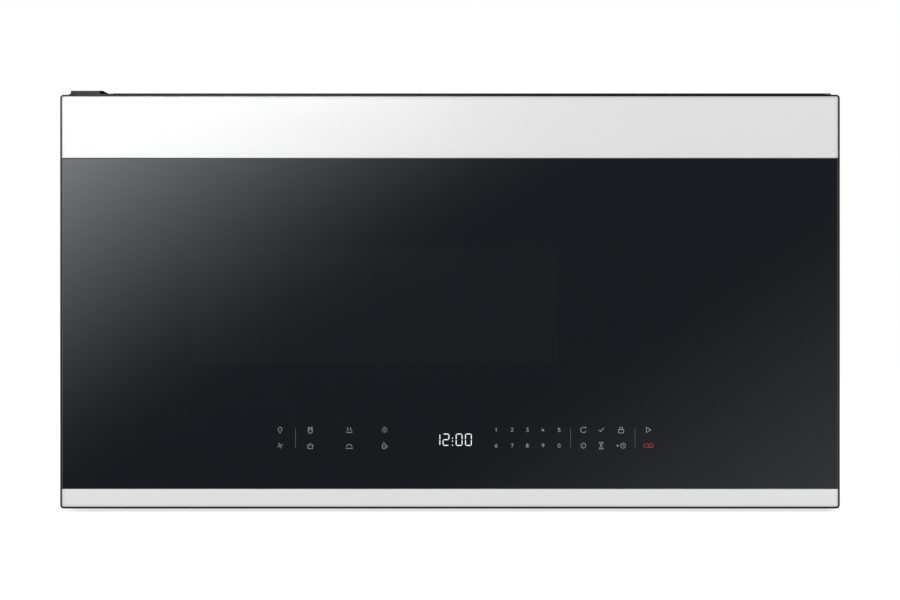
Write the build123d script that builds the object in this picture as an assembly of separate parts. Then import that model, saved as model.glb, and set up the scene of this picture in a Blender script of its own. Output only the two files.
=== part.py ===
from build123d import *
import math
import os

# Over the range microwave with a full-width glass door, hinged on the left.
# Millimetres. X runs to the right, Y to the back, Z up. The front is at -Y. The origin is on the
# surface that the base panel stands on, at the middle of the overall width and depth.

# ---------------------------------------------------------------------------------------------
# Driving dimensions
# ---------------------------------------------------------------------------------------------

# Whole product
overall_depth = 415.0
door_width = 759.0
door_height = 403.0
door_depth = 42.0
door_lift = 3.0
door_gap = 1.5
door_overhang = 3.5
case_above_door = 4.0
case_corner_radius = 1.5

# Sheet steel of the case
sheet = 1.0
joggle = 2.5
flange = 13.0
flange_corner_radius = 6.0
seam_gap = 0.2

# Door frame and glass
frame_wall = 1.5
frame_corner_radius = 3.5
frame_setback = 0.5
glass_thickness = 4.0
glass_gap = 0.2
glass_seam = 0.3
glass_corner_radius = 1.5
upper_band_height = 61.9
lower_band_height = 19.2
ledge_width = 9.0
ledge_thickness = 2.0
swing_radius = 14.5
frame_return = 16.5
back_cover_thickness = 2.0

# Finger pull in the door's right edge
pull_depth_x = 26.0
pull_depth_y = 24.0
pull_height = 280.0
pull_wall = 2.0
pull_radius = 6.0

# Oven cavity
cavity_side_margin = 36.0
bay_width = 182.0
cavity_floor = 68.0
cavity_headroom = 80.0
cavity_rear_gap = 20.0
cavity_corner_radius = 14.0
track_margin = 18.5
track_depth = 1.5
lamp_hole_radius = 1.6
lamp_hole_pitch = 7.0
lamp_hole_rows = 4
lamp_hole_columns = 6
lamp_hole_from_front = 70.0
lamp_hole_drop = 48.0
vent_slot_count = 8
vent_slot_width = 3.0
vent_slot_length = 26.0
vent_slot_pitch = 9.0
vent_slot_from_back = 54.0
vent_slot_drop = 50.0

# Door choke and window
choke_land = 8.0
choke_groove_start = 4.0
choke_reach = 18.0
choke_depth = 19.0
choke_lip = 5.0
choke_slot_width = 4.0
choke_slot_pitch = 20.0
choke_slot_depth = 13.0
choke_cover_thickness = 1.4
choke_cover_rib = 5.0
choke_cover_rib_wall = 1.5
pan_depth = 8.0
pane_thickness = 3.0
pane_gap = 0.3
window_width = 361.0
window_height = 120.0
window_above_floor = 73.4
screen_emboss = 0.5

# Touch board and display behind the window glass
touch_width = 392.0
touch_height = 44.0
touch_thickness = 1.6
touch_centre_x = 17.0
touch_above_door_bottom = 68.3
display_width = 66.0
display_height = 26.0
display_depth = 9.0
display_centre_x = 5.0
display_gap = 0.5
display_corner_radius = 2.0

# Door hinges
pin_radius = 3.0
pin_running_gap = 0.06
pin_chamfer = 0.6
bush_radius = 5.5
bush_length = 12.0
bush_flange_radius = 7.5
bush_flange_thickness = 1.2
bush_stand_off = 0.3
hinge_leaf = 3.0
upper_leaf_width = 29.0
upper_leaf_side = 3.6
upper_leaf_nose = 6.0
hinge_leg_height = 36.0
lower_leaf_width = 12.0
lower_leaf_height = 8.5
lower_leg_height = 34.0
hinge_notch_gap = 2.0
boss_wall = 4.0
cap_wall = 2.4
cap_gap = 0.2
cap_roof = 1.0
cap_slope_run = 7.4
cap_slope_drop = 3.6
cap_tail = 13.0
cap_right_overhang = 6.9

# Door latch
latch_from_cavity = 34.0
latch_thickness = 4.0
latch_stem_gap = 3.0
latch_prong_pitch = 80.0
latch_above_middle = 3.0
latch_prong_height = 8.0
latch_reach = 13.5
latch_barb_drop = 4.0
latch_barb_length = 5.5
latch_travel = 5.0
latch_guide_gap = 0.6
latch_guide_wall = 2.0
latch_tail = 24.0
latch_slot_width = 8.0
latch_slot_clearance = 3.0
ledge_engagement = 3.5
ledge_depth = 6.0
ledge_height = 13.0
latch_board_thickness = 3.0
latch_board_depth = 46.0
latch_board_margin = 24.0
spring_radius = 4.0
spring_wire_radius = 0.5
spring_wire_sides = 6
spring_turns = 6
spring_length = 28.0
spring_post_radius = 2.0

# Interlock switches
switch_height = 27.8
switch_depth = 16.0
switch_width = 10.0
switch_gap = 3.2
button_gap = 0.3
button_travel = 1.5
button_width = 3.0
button_height = 5.0
button_clearance = 0.3
terminal_length = 6.0
terminal_width = 4.8
terminal_thickness = 0.8

# Top vent grille and charcoal filter
grille_thickness = 3.0
grille_depth = 68.0
grille_right_margin = 5.0
grille_rim = 7.0
grille_skirt = 6.0
slat_pitch = 8.6
slat_width = 9.0
slat_thickness = 1.6
slat_tilt = 38.0
grille_rib_count = 9
grille_rib = 2.4
grille_end_slope = 1.0
charcoal_width = 300.0
charcoal_depth = 40.0
charcoal_height = 15.0
charcoal_drop = 1.0
charcoal_lip = 4.0
charcoal_gap = 0.3
charcoal_groove_pitch = 15.0
charcoal_groove = 3.0
charcoal_groove_depth = 2.0

# Top panel ports
exhaust_width = 254.0
exhaust_depth = 82.0
exhaust_cover_overlap = 11.0
bolt_spacing = 560.0
nut_collar_radius = 4.6
nut_collar_gap = 0.05
nut_bore_radius = 2.55
nut_radius = 6.4
nut_height = 8.0
grommet_from_side = 76.0
grommet_from_back = 54.0
grommet_radius = 14.0
grommet_lip_radius = 17.0
grommet_lip = 2.0
grommet_bore_radius = 7.0
grommet_depth = 7.0

# Back panel
hook_slot_spacing = 500.0
hook_slot_length = 40.0
hook_slot_half_width = 4.0
hook_slot_height = 60.0
bead_count = 4
bead_width = 10.0
bead_above_slots = 60.0
bead_below_top = 70.0
bead_depth = 1.5
bead_pitch = 120.0
bead_flat = 0.5

# Grease filters and cooktop lamps in the base
filter_side_margin = 55.0
filter_middle_gap = 46.0
filter_depth = 128.0
filter_height = 8.0
filter_rise = 0.8
filter_gap = 1.0
filter_behind_middle = 16.0
filter_rim = 9.0
filter_wall = 1.0
filter_mesh = 0.6
filter_bar = 5.0
filter_lip = 5.0
tab_width = 26.0
tab_depth = 14.0
tab_thickness = 0.8
lamp_width = 92.0
lamp_depth = 42.0
lamp_from_side = 126.0
lamp_from_front = 56.0
lamp_lip = 4.0
lamp_lip_thickness = 1.6
lamp_wall = 1.6
lamp_rise = 0.9
lamp_corner_radius = 6.0
lamp_module_height = 14.0
lamp_module_inset = 9.0
lamp_led_radius = 4.0
lamp_led_height = 2.0
lamp_led_spacing = 34.0

# Turntable
tray_wall_gap = 14.0
tray_thickness = 5.0
tray_rim_rise = 9.0
tray_rim_width = 12.0
roller_radius = 7.5
roller_width = 9.0
roller_edge = 0.8
roller_bore_radius = 2.06
roller_axle_radius = 2.0
roller_circle = 105.0
roller_count = 3
roller_gap = 0.3
ring_rail = 5.0
ring_width = 8.0
ring_gap = 1.5
coupler_reach = 36.0
coupler_arm_width = 18.0
coupler_hub_radius = 14.0
coupler_arms = 3
coupler_chamfer = 1.0
coupler_height = 9.0
coupler_gap = 0.6
lug_radius = 4.5
lug_circle = 26.0
lug_drop = 4.0
shaft_radius = 3.5
shaft_flat = 2.6
shaft_hole_radius = 6.0
motor_radius = 25.0
motor_height = 20.0
motor_gap = 2.0
motor_ear = 10.0
motor_ear_thickness = 2.0
motor_boss_place = 15.0

# Microwave generator, in the bay to the right of the cavity
waveguide_width = 95.0
waveguide_height = 150.0
waveguide_depth = 40.0
waveguide_behind_tray = 18.0
waveguide_below_top = 10.0
feed_width = 74.0
feed_height = 40.0
feed_rise = 12.0
mica_margin = 12.0
mica_thickness = 0.8
yoke_width = 84.0
yoke_height = 82.0
yoke_length = 78.0
yoke_wall = 2.0
magnetron_top_margin = 4.0
antenna_radius = 8.0
antenna_length = 26.0
antenna_hole_radius = 10.0
anode_radius = 20.0
magnet_radius = 27.0
magnet_thickness = 12.0
fin_count = 7
fin_thickness = 0.8
fin_gap = 1.0
filter_box_length = 24.0
filter_box_width = 56.0
filter_box_height = 58.0
shelf_height = 60.0
shelf_leg_relief = 13.0
core_width = 100.0
core_depth = 64.0
core_height = 84.0
core_leg = 17.0
coil_wall = 13.0
coil_gap = 0.5
core_from_back = 62.0
capacitor_width = 85.0
capacitor_depth = 50.0
capacitor_height = 34.0
capacitor_gap = 52.0
terminal_tab = 7.0
board_height = 200.0
board_length = 170.0
board_thickness = 1.6
board_below_top = 80.0
board_from_front = 19.0
board_side_gap = 8.0
relay_size = 22.0
relay_pitch = 34.0
relay_count = 4
cavity_lamp_width = 52.0
cavity_lamp_height = 34.0
cavity_lamp_depth = 12.0

# Cooling fan behind the magnetron
fan_radius = 46.0
fan_tip_gap = 3.0
fan_hub_radius = 12.0
fan_hub_length = 16.0
fan_blade_count = 5
fan_blade_chord = 30.0
fan_blade_thickness = 1.6
fan_blade_pitch = 28.0
fan_shroud_size = 112.0
fan_shroud_thickness = 2.0
fan_shroud_depth = 24.0
fan_gap = 26.0
fan_arm_height = 60.0
fan_arm_flange = 12.0
fan_motor_radius = 21.0
fan_motor_length = 22.0
fan_motor_gap = 4.0
fan_strut = 6.0
fan_shaft_radius = 2.0
fan_shaft_gap = 0.06

# Vent blower above the cavity
scroll_radius = 36.0
scroll_wall = 1.2
scroll_width = 86.0
scroll_throat = 88.0
scroll_from_back = 56.0
scroll_drop = 3.0
scroll_inlet_radius = 21.0
blower_shift = -30.0
blower_motor_length = 92.0
blower_motor_radius = 28.0
blower_motor_gap = 1.0
blower_foot_width = 40.0
wheel_radius = 30.0
wheel_end_gap = 5.0
wheel_ring = 2.0
wheel_blade_depth = 6.0
wheel_blade_thickness = 1.0
wheel_blade_count = 22
wheel_blade_lean = 20.0
wheel_hub_radius = 7.0
blower_shaft_radius = 3.0
blower_shaft_gap = 0.06
blower_shaft_end = 2.0

# Screws
screw_head_radius = 4.0
screw_head_height = 1.8
screw_head_taper = 15.0
screw_shank_radius = 1.8
screw_length = 8.0
screw_hole_radius = 2.1
screw_edge = 6.5
back_screw_columns = 4
base_side_screws = 3
base_front_screws = 3
door_screw_columns = 3
door_screw_inset = 9.0
door_screw_side = 36.0
door_screw_shift = 18.0
door_screw_length = 6.0
screw_post_radius = 4.5
screw_well_gap = 0.4
screw_well_wall = 1.5
screw_well_floor = 2.0

# ---------------------------------------------------------------------------------------------
# Places that follow from the driving dimensions
# ---------------------------------------------------------------------------------------------

y_glass = -overall_depth / 2
y_frame = y_glass + frame_setback
y_glass_back = y_glass + glass_thickness
y_door_back = y_glass + door_depth
y_case = y_door_back + door_gap
y_back = overall_depth / 2
y_case_back = y_back - joggle - sheet

door_left = -door_width / 2
door_right = door_width / 2
door_bottom = door_lift
door_top = door_lift + door_height
door_middle = door_lift + door_height / 2

case_width = door_width - 2 * door_overhang
case_height = door_top + case_above_door
case_left = -case_width / 2
case_right = case_width / 2
case_bottom = joggle + sheet
case_middle_y = (y_case + y_case_back) / 2
side_outer = case_width / 2 - sheet - seam_gap
side_inner = side_outer - sheet
flange_edge = case_width / 2 - flange
plate_top = case_height - grille_thickness

cavity_left = case_left + cavity_side_margin
cavity_right = case_right - bay_width
cavity_centre_x = (cavity_left + cavity_right) / 2
cavity_top = case_height - cavity_headroom
cavity_middle = (cavity_floor + cavity_top) / 2
cavity_back = y_case_back - cavity_rear_gap

pivot_x = door_left + swing_radius
pivot_y = y_door_back - swing_radius

tray_centre_y = (y_case + cavity_back) / 2
tray_radius = (cavity_back - y_case) / 2 - tray_wall_gap
track_radius = roller_circle + roller_width / 2 + track_margin
track_floor = cavity_floor - track_depth
roller_axle_z = track_floor + roller_gap + roller_radius
tray_bottom = roller_axle_z + roller_radius + roller_gap
ring_outer = roller_circle - roller_width / 2 - ring_gap
ring_inner = ring_outer - ring_width

latch_x = cavity_right + latch_from_cavity
latch_heights = [
    cavity_middle + latch_above_middle + k * latch_prong_pitch for k in (-1, 0, 1)
]

y_choke_rear = y_door_back - choke_cover_thickness
y_choke_floor = y_choke_rear - choke_depth
y_pan = y_choke_rear - pan_depth

bay_left = cavity_right + sheet
bay_middle = (bay_left + side_inner) / 2
foot_bottom = cavity_top + sheet

cap_left = pivot_x - upper_leaf_side - cap_gap - cap_wall
cap_inner_right = pivot_x - upper_leaf_side + upper_leaf_width + cap_gap
cap_right = cap_inner_right + cap_right_overhang
hinge_slot_left = pivot_x - upper_leaf_side - seam_gap

grille_left = cap_right + seam_gap
grille_right = case_right - grille_right_margin
charcoal_top = plate_top - grille_skirt - charcoal_drop
charcoal_bottom = charcoal_top - charcoal_height
filter_width = (case_width - filter_middle_gap) / 2 - filter_side_margin
filter_centre_x = (filter_middle_gap + filter_width) / 2
filter_centre_y = case_middle_y + filter_behind_middle
lamp_centre_x = case_width / 2 - lamp_from_side
lamp_centre_y = y_case + lamp_from_front
grommet_x = case_right - grommet_from_side
grommet_y = y_case_back - grommet_from_back
scroll_centre_y = y_case_back - scroll_from_back
scroll_outlet_y = scroll_centre_y - scroll_throat
scroll_top = case_height - 2 * sheet - scroll_drop
scroll_centre_z = scroll_top - scroll_radius
blower_centre_x = cavity_centre_x + blower_shift
blower_left = blower_centre_x - scroll_width - blower_motor_length / 2
blower_right = blower_centre_x + scroll_width + blower_motor_length / 2
scroll_starts = (blower_left, blower_right - scroll_width)
waveguide_centre_y = tray_centre_y + waveguide_behind_tray
waveguide_bottom = cavity_top - waveguide_below_top - waveguide_height
magnetron_left = bay_left + waveguide_depth
magnetron_right = magnetron_left + yoke_length
magnetron_top = waveguide_bottom + waveguide_height - magnetron_top_margin
magnetron_middle = magnetron_top - yoke_height / 2
fan_x = (magnetron_left + magnetron_right) / 2
fan_front_y = waveguide_centre_y + yoke_width / 2 + fan_gap
core_centre_y = y_case_back - core_from_back
capacitor_centre_y = (core_centre_y - core_depth / 2 - coil_wall - capacitor_gap
                      - capacitor_depth / 2)
board_bottom = case_height - board_below_top - board_height
board_centre_y = y_case + board_from_front + board_length / 2
shelf_top = shelf_height + sheet
touch_centre_z = door_bottom + touch_above_door_bottom
window_middle = cavity_floor + window_above_floor + window_height / 2


# ---------------------------------------------------------------------------------------------
# Solid helpers
# ---------------------------------------------------------------------------------------------

def block(x0, x1, y0, y1, z0, z1):
    """A box between two corners, given in either order."""
    centre = ((x0 + x1) / 2, (y0 + y1) / 2, (z0 + z1) / 2)
    return Pos(*centre) * Box(abs(x1 - x0), abs(y1 - y0), abs(z1 - z0))


def rounded(width, height, radius):
    """A rectangle sketch, with round corners where the radius is above zero."""
    return RectangleRounded(width, height, radius) if radius > 0 else Rectangle(width, height)


def slab_y(x0, x1, z0, z1, y0, y1, radius):
    """A plate that faces the front, with round corners."""
    sketch = Pos((x0 + x1) / 2, (z0 + z1) / 2) * rounded(x1 - x0, z1 - z0, radius)
    return extrude(Plane.XZ.offset(-y1) * sketch, y1 - y0)


def slab_z(x0, x1, y0, y1, z0, z1, radius):
    """A plate that lies flat, with round corners."""
    sketch = Pos((x0 + x1) / 2, (y0 + y1) / 2) * rounded(x1 - x0, y1 - y0, radius)
    return extrude(Plane.XY.offset(z0) * sketch, z1 - z0)


def rod_x(y, z, x0, x1, radius):
    """A round bar along X."""
    return extrude(Plane.YZ.offset(x0) * Pos(y, z) * Circle(radius), x1 - x0)


def rod_y(x, z, y0, y1, radius):
    """A round bar along Y."""
    return extrude(Plane.XZ.offset(-y1) * Pos(x, z) * Circle(radius), y1 - y0)


def rod_z(x, y, z0, z1, radius):
    """A round bar along Z."""
    return extrude(Plane.XY.offset(z0) * Pos(x, y) * Circle(radius), z1 - z0)


def profile_x(points, x0, x1):
    """A polygon of (y, z) points drawn out along X."""
    return extrude(Plane.YZ.offset(x0) * make_face(Polyline(*points, close=True)), x1 - x0)


def profile_y(points, y0, y1):
    """A polygon of (x, z) points drawn out along Y."""
    return extrude(Plane.XZ.offset(-y1) * make_face(Polyline(*points, close=True)), y1 - y0)


def group(pieces):
    """Separate solids that share one node."""
    return Compound(children=[solid for piece in pieces for solid in piece.solids()])


def spread(count, length):
    """Places of copies that are evenly spaced over a length and centred on zero."""
    return [length * (k / (count - 1) - 0.5) for k in range(count)] if count > 1 else [0.0]


def latch_slot_reach(z):
    """The bottom and top of the slot that a latch prong at a height passes through and lifts in."""
    half = latch_prong_height / 2
    return (z - half - latch_barb_drop - latch_slot_clearance,
            z + half + latch_travel + latch_slot_clearance)


# ---------------------------------------------------------------------------------------------
# Case
# ---------------------------------------------------------------------------------------------

back_screw_places = [
    (x, z) for z in (case_bottom + screw_edge, case_height - screw_edge)
    for x in spread(back_screw_columns, side_inner + flange_edge)
]
base_front_places = [
    (x, y_case + screw_edge) for x in spread(base_front_screws, case_width - 4 * flange)
]
base_side_places = [
    (side * (case_width / 2 - screw_edge), case_middle_y + y) for side in (-1, 1)
    for y in spread(base_side_screws, y_case_back - y_case - 6 * flange)
]
base_screw_places = base_front_places + base_side_places


def top_panel():
    """The top panel: skirts over the side panels, and openings for the air, bolts and cord."""
    y0 = y_case + sheet
    skirt = case_height - flange
    outside = slab_y(case_left, case_right, skirt - flange, case_height, y0, y_case_back,
                     case_corner_radius)
    inside = slab_y(case_left + sheet, case_right - sheet, skirt - flange, case_height - sheet, y0,
                    y_case_back - sheet, case_corner_radius - sheet)
    panel = outside - inside - block(case_left, case_right, y0, y_case_back, skirt - flange, skirt)
    panel -= block(grille_left - seam_gap, grille_right + seam_gap, y0,
                   y_case + grille_depth + seam_gap, plate_top - flange, case_height)
    panel -= block(hinge_slot_left, grille_left, y0, y0 + hinge_leaf + seam_gap,
                   plate_top - flange, case_height)
    panel -= slab_z(-exhaust_width / 2 + blower_centre_x, exhaust_width / 2 + blower_centre_x,
                    scroll_centre_y - exhaust_depth / 2, scroll_centre_y + exhaust_depth / 2,
                    case_height - sheet, case_height, flange_corner_radius)
    for x in (-bolt_spacing / 2, bolt_spacing / 2):
        panel -= rod_z(x, case_middle_y, case_height - sheet, case_height,
                       nut_collar_radius + nut_collar_gap)
    panel -= rod_z(grommet_x, grommet_y, case_height - sheet, case_height, grommet_radius)
    for x, z in back_screw_places:
        panel -= rod_y(x, z, y_case_back - sheet, y_case_back, screw_hole_radius)
    return panel


def side_panels():
    """The two side panels, inside the top panel's skirts, with base and back flanges."""
    y0 = y_case + sheet
    top = case_height - case_corner_radius
    under_flange = case_height - flange - seam_gap
    panels = []
    for side in (-1, 1):
        outer, inner, edge = side * side_outer, side * side_inner, side * flange_edge
        panel = block(outer, inner, y0, y_case_back - sheet - seam_gap, case_bottom, top)
        panel += block(outer, inner, y_case_back - sheet - seam_gap, y_case_back, case_bottom,
                       under_flange)
        panel += block(outer, edge, y_case_back - sheet, y_case_back, case_bottom, under_flange)
        panel += block(outer, edge, y0 + flange, y_case_back - sheet, case_bottom,
                       case_bottom + sheet)
        panel -= [rod_y(x, z, y_case_back - sheet, y_case_back, screw_hole_radius)
                  for x, z in back_screw_places]
        panel -= [rod_z(x, y, case_bottom, case_bottom + sheet, screw_hole_radius)
                  for x, y in base_side_places]
        panels.append(panel)
    return group(panels)


def exhaust_cover():
    """The plate under the top panel that closes the duct port when the air is recirculated."""
    top = case_height - sheet
    half_x = exhaust_width / 2 + exhaust_cover_overlap
    half_y = exhaust_depth / 2 + exhaust_cover_overlap
    return slab_z(blower_centre_x - half_x, blower_centre_x + half_x, scroll_centre_y - half_y,
                  scroll_centre_y + half_y, top - sheet, top, flange_corner_radius)


def joggled(plate, raised, hollow, hole):
    """A panel with a proud field: its flange, a block for the field, and what is hollow behind."""
    return plate - hole + (raised - hollow)


def back_panel():
    """The rear panel: a flange screwed to the case, and a field that lies against the wall."""
    inset = flange + flange_corner_radius
    fx0, fx1 = case_left + inset, case_right - inset
    fz0, fz1 = case_bottom + inset, case_height - inset
    plate = slab_y(case_left, case_right, case_bottom, case_height, y_case_back,
                   y_case_back + sheet, case_corner_radius)
    raised = slab_y(fx0, fx1, fz0, fz1, y_case_back, y_back, flange_corner_radius)
    hollow = slab_y(fx0 + sheet, fx1 - sheet, fz0 + sheet, fz1 - sheet, y_case_back,
                    y_back - sheet, flange_corner_radius - sheet)
    hole = slab_y(fx0 + sheet, fx1 - sheet, fz0 + sheet, fz1 - sheet, y_case_back,
                  y_case_back + sheet, flange_corner_radius - sheet)
    panel = joggled(plate, raised, hollow, hole)
    z0, z1 = hook_slot_height + bead_above_slots, case_height - bead_below_top
    for x in spread(bead_count, bead_pitch * (bead_count - 1)):
        x0, x1 = x - bead_width / 2, x + bead_width / 2
        panel += slab_y(x0, x1, z0, z1, y_back - bead_depth - sheet, y_back,
                        bead_width / 2 - bead_flat)
        panel -= slab_y(x0 + sheet, x1 - sheet, z0 + sheet, z1 - sheet, y_back - bead_depth,
                        y_back, bead_width / 2 - sheet - bead_flat)
    for x in (-hook_slot_spacing / 2, hook_slot_spacing / 2):
        cut = SlotOverall(hook_slot_length, 2 * hook_slot_half_width)
        panel -= extrude(Plane.XZ.offset(-y_back) * Pos(x, hook_slot_height) * cut, sheet)
    for x, z in back_screw_places:
        panel -= rod_y(x, z, y_case_back, y_case_back + sheet, screw_hole_radius)
    return panel


def base_panel():
    """The underside: a flange screwed to the case, filter wells and lamp openings in its field."""
    inset = flange + flange_corner_radius
    fx0, fx1 = case_left + inset, case_right - inset
    fy0, fy1 = y_case + inset, y_case_back - inset
    plate = slab_z(case_left, case_right, y_case, y_case_back + sheet, joggle, case_bottom, 0)
    raised = slab_z(fx0, fx1, fy0, fy1, 0, case_bottom, flange_corner_radius)
    hollow = slab_z(fx0 + sheet, fx1 - sheet, fy0 + sheet, fy1 - sheet, sheet, case_bottom,
                    flange_corner_radius - sheet)
    hole = slab_z(fx0 + sheet, fx1 - sheet, fy0 + sheet, fy1 - sheet, joggle, case_bottom,
                  flange_corner_radius - sheet)
    panel = joggled(plate, raised, hollow, hole)
    for side in (-1, 1):
        x, y = side * filter_centre_x, filter_centre_y
        half_x, half_y = filter_width / 2 + filter_gap, filter_depth / 2 + filter_gap
        top = filter_rise + filter_height + seam_gap + sheet
        panel += block(x - half_x - sheet, x + half_x + sheet, y - half_y - sheet,
                       y + half_y + sheet, 0, top)
        panel -= block(x - half_x, x + half_x, y - half_y, y + half_y, 0, top - sheet)
        half_x, half_y = half_x - filter_lip, half_y - filter_lip
        panel -= block(x - half_x, x + half_x, y - half_y, y + half_y, 0, top)
        x, y = side * lamp_centre_x, lamp_centre_y
        panel -= slab_z(x - lamp_width / 2, x + lamp_width / 2, y - lamp_depth / 2,
                        y + lamp_depth / 2, 0, sheet, lamp_corner_radius)
    reach = flange_edge - seam_gap
    panel += block(-reach, reach, y_case_back - sheet, y_case_back, case_bottom,
                   case_bottom + flange)
    panel -= [rod_z(x, y, joggle, case_bottom, screw_hole_radius) for x, y in base_screw_places]
    panel -= [rod_y(x, z, y_case_back - sheet, y_case_back, screw_hole_radius)
              for x, z in back_screw_places]
    return panel


def front_plate():
    """The steel front of the case, which the door choke closes on, with a rim inside the case."""
    tall = case_height - case_bottom
    y1 = y_case + sheet
    plate = slab_y(case_left, case_right, case_bottom - tall, case_height, y_case, y1,
                   case_corner_radius)
    plate -= block(case_left, case_right, y_case, y1, case_bottom - tall, case_bottom)
    plate -= block(hinge_slot_left, grille_right + seam_gap, y_case, y1, plate_top, case_height)
    rim_side = side_inner - seam_gap
    rim_top = plate_top - grille_skirt - seam_gap
    rim = block(-rim_side, rim_side, y_case, y_case + flange - seam_gap, case_bottom, rim_top)
    rim -= block(-rim_side + sheet, rim_side - sheet, y_case, y_case + flange,
                 case_bottom + sheet, rim_top - sheet)
    rim -= block(case_left, pivot_x + upper_leaf_width, y1, y_case + flange,
                 plate_top - hinge_leg_height - seam_gap, plate_top)
    rim -= block(case_left, pivot_x + lower_leaf_width, y1, y_case + flange,
                 case_bottom + sheet, lower_leaf_height + lower_leg_height + seam_gap)
    plate += rim
    plate -= slab_y(cavity_left, cavity_right, cavity_floor, cavity_top, y_case, y1,
                    cavity_corner_radius)
    half = latch_slot_width / 2
    for z in latch_heights:
        low, high = latch_slot_reach(z)
        plate -= block(latch_x - half, latch_x + half, y_case, y1, low, high)
    half = lower_leaf_width / 2 + seam_gap
    plate -= block(pivot_x - half, pivot_x + half, y_case, y1, lower_leaf_height - seam_gap,
                   lower_leaf_height + hinge_leaf + seam_gap)
    for x, y in base_front_places:
        plate -= rod_z(x, y, case_bottom, case_bottom + sheet, screw_hole_radius)
    return plate


def vent_grille():
    """The moulded grille in the top panel, with the two rails that hold the charcoal filter."""
    y0, y1 = y_case, y_case + grille_depth
    top, plate = case_height, plate_top
    slope = grille_end_slope
    outline = [(grille_left, plate), (grille_right, plate), (grille_right, top - slope),
               (grille_right - slope, top), (grille_left, top)]
    body = profile_y(outline, y0, y1)
    inner_left, inner_right = grille_left + grille_rim + slope, grille_right - grille_rim - slope
    inner_front, inner_back = y0 + grille_rim + sheet, y1 - grille_rim
    skirt = block(inner_left - grille_rib, inner_right + grille_rib, inner_front - grille_rib,
                  inner_back + grille_rib, plate - grille_skirt, plate)
    body += skirt
    body -= block(inner_left, inner_right, inner_front, inner_back, plate - grille_skirt, top)
    depth = inner_back - inner_front
    count = int(depth // slat_pitch)
    middle_z = (top + plate - grille_skirt) / 2
    middle_x, middle_y = (inner_left + inner_right) / 2, (inner_front + inner_back) / 2
    span = inner_right - inner_left
    slat = Rot(X=-slat_tilt) * Box(span, slat_width, slat_thickness)
    body += [Pos(middle_x, middle_y + y, middle_z) * slat
             for y in spread(count, slat_pitch * (count - 1))]
    body += [block(middle_x + x - grille_rib / 2, middle_x + x + grille_rib / 2, inner_front,
                   inner_back, plate - grille_skirt, top - sheet)
             for x in spread(grille_rib_count,
                             span * (grille_rib_count - 1) / (grille_rib_count + 1))]
    y_middle = y_case + grille_depth / 2
    for side in (-1, 1):
        near = blower_centre_x + side * (charcoal_width / 2 + charcoal_gap)
        far, lip = near + side * grille_rib, near - side * charcoal_lip
        under = charcoal_bottom - charcoal_gap
        body += block(near, far, y_middle - charcoal_depth / 2, y_middle + charcoal_depth / 2,
                      under - grille_rib, top - sheet)
        body += block(lip, far, y_middle - charcoal_depth / 2, y_middle + charcoal_depth / 2,
                      under - grille_rib, under)
    return body


def charcoal_filter():
    """The charcoal pad under the grille, with grooves across its faces."""
    y_middle = y_case + grille_depth / 2
    z0, z1 = charcoal_bottom, charcoal_top
    x0, x1 = blower_centre_x - charcoal_width / 2, blower_centre_x + charcoal_width / 2
    pad = block(x0, x1, y_middle - charcoal_depth / 2, y_middle + charcoal_depth / 2, z0, z1)
    count = int(charcoal_width // charcoal_groove_pitch) - 1
    half_x, half_y = charcoal_groove / 2, charcoal_depth / 2 - charcoal_groove
    return pad - [
        block(blower_centre_x + x - half_x, blower_centre_x + x + half_x, y_middle - half_y,
              y_middle + half_y, z, z + charcoal_groove_depth)
        for x in spread(count, charcoal_groove_pitch * (count - 1))
        for z in (z0, z1 - charcoal_groove_depth)
    ]


def mounting_nuts():
    """Two nuts pressed into the top panel, for the bolts down through the wall cabinet."""
    nuts = []
    z1 = case_height - sheet
    for x in (-bolt_spacing / 2, bolt_spacing / 2):
        body = extrude(Plane.XY.offset(z1 - nut_height) * Pos(x, case_middle_y)
                       * RegularPolygon(nut_radius, 6), nut_height)
        body += rod_z(x, case_middle_y, z1, case_height, nut_collar_radius)
        nuts.append(body - rod_z(x, case_middle_y, z1 - nut_height, case_height, nut_bore_radius))
    return group(nuts)


def cord_grommet():
    """The bushing in the top panel that the supply cord passes through."""
    top = case_height
    body = rod_z(grommet_x, grommet_y, top - grommet_depth, top, grommet_radius)
    body += rod_z(grommet_x, grommet_y, top - sheet - grommet_lip, top - sheet,
                  grommet_lip_radius)
    return body - rod_z(grommet_x, grommet_y, top - grommet_depth, top, grommet_bore_radius)


def screw(length):
    """A pan-head screw that points down, with its head standing on the origin's plane."""
    head = extrude(Circle(screw_head_radius), screw_head_height, taper=screw_head_taper)
    return head + extrude(Plane.XY.offset(-length) * Circle(screw_shank_radius), length)


def case_screws():
    """The screws that hold the back and base panels."""
    pieces = []
    for x, z in back_screw_places:
        pieces.append(Pos(x, y_case_back + sheet, z) * Rot(X=-90) * screw(screw_length))
    for x, y in base_screw_places:
        pieces.append(Pos(x, y, joggle) * Rot(X=180) * screw(screw_length))
    return group(pieces)


# ---------------------------------------------------------------------------------------------
# Oven cavity and turntable
# ---------------------------------------------------------------------------------------------

def cavity_skin(grow):
    """The cavity's closed outline, grown outwards, from the front plate to the back wall."""
    body = slab_y(cavity_left - grow, cavity_right + grow, cavity_floor - grow,
                  cavity_top + grow, y_case + sheet, cavity_back + grow,
                  cavity_corner_radius + grow)
    rear = body.faces().sort_by(Axis.Y)[-1].edges()
    body = fillet(rear, cavity_corner_radius + grow)
    return body + rod_z(cavity_centre_x, tray_centre_y, track_floor - grow, cavity_floor,
                        track_radius + grow)


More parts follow.
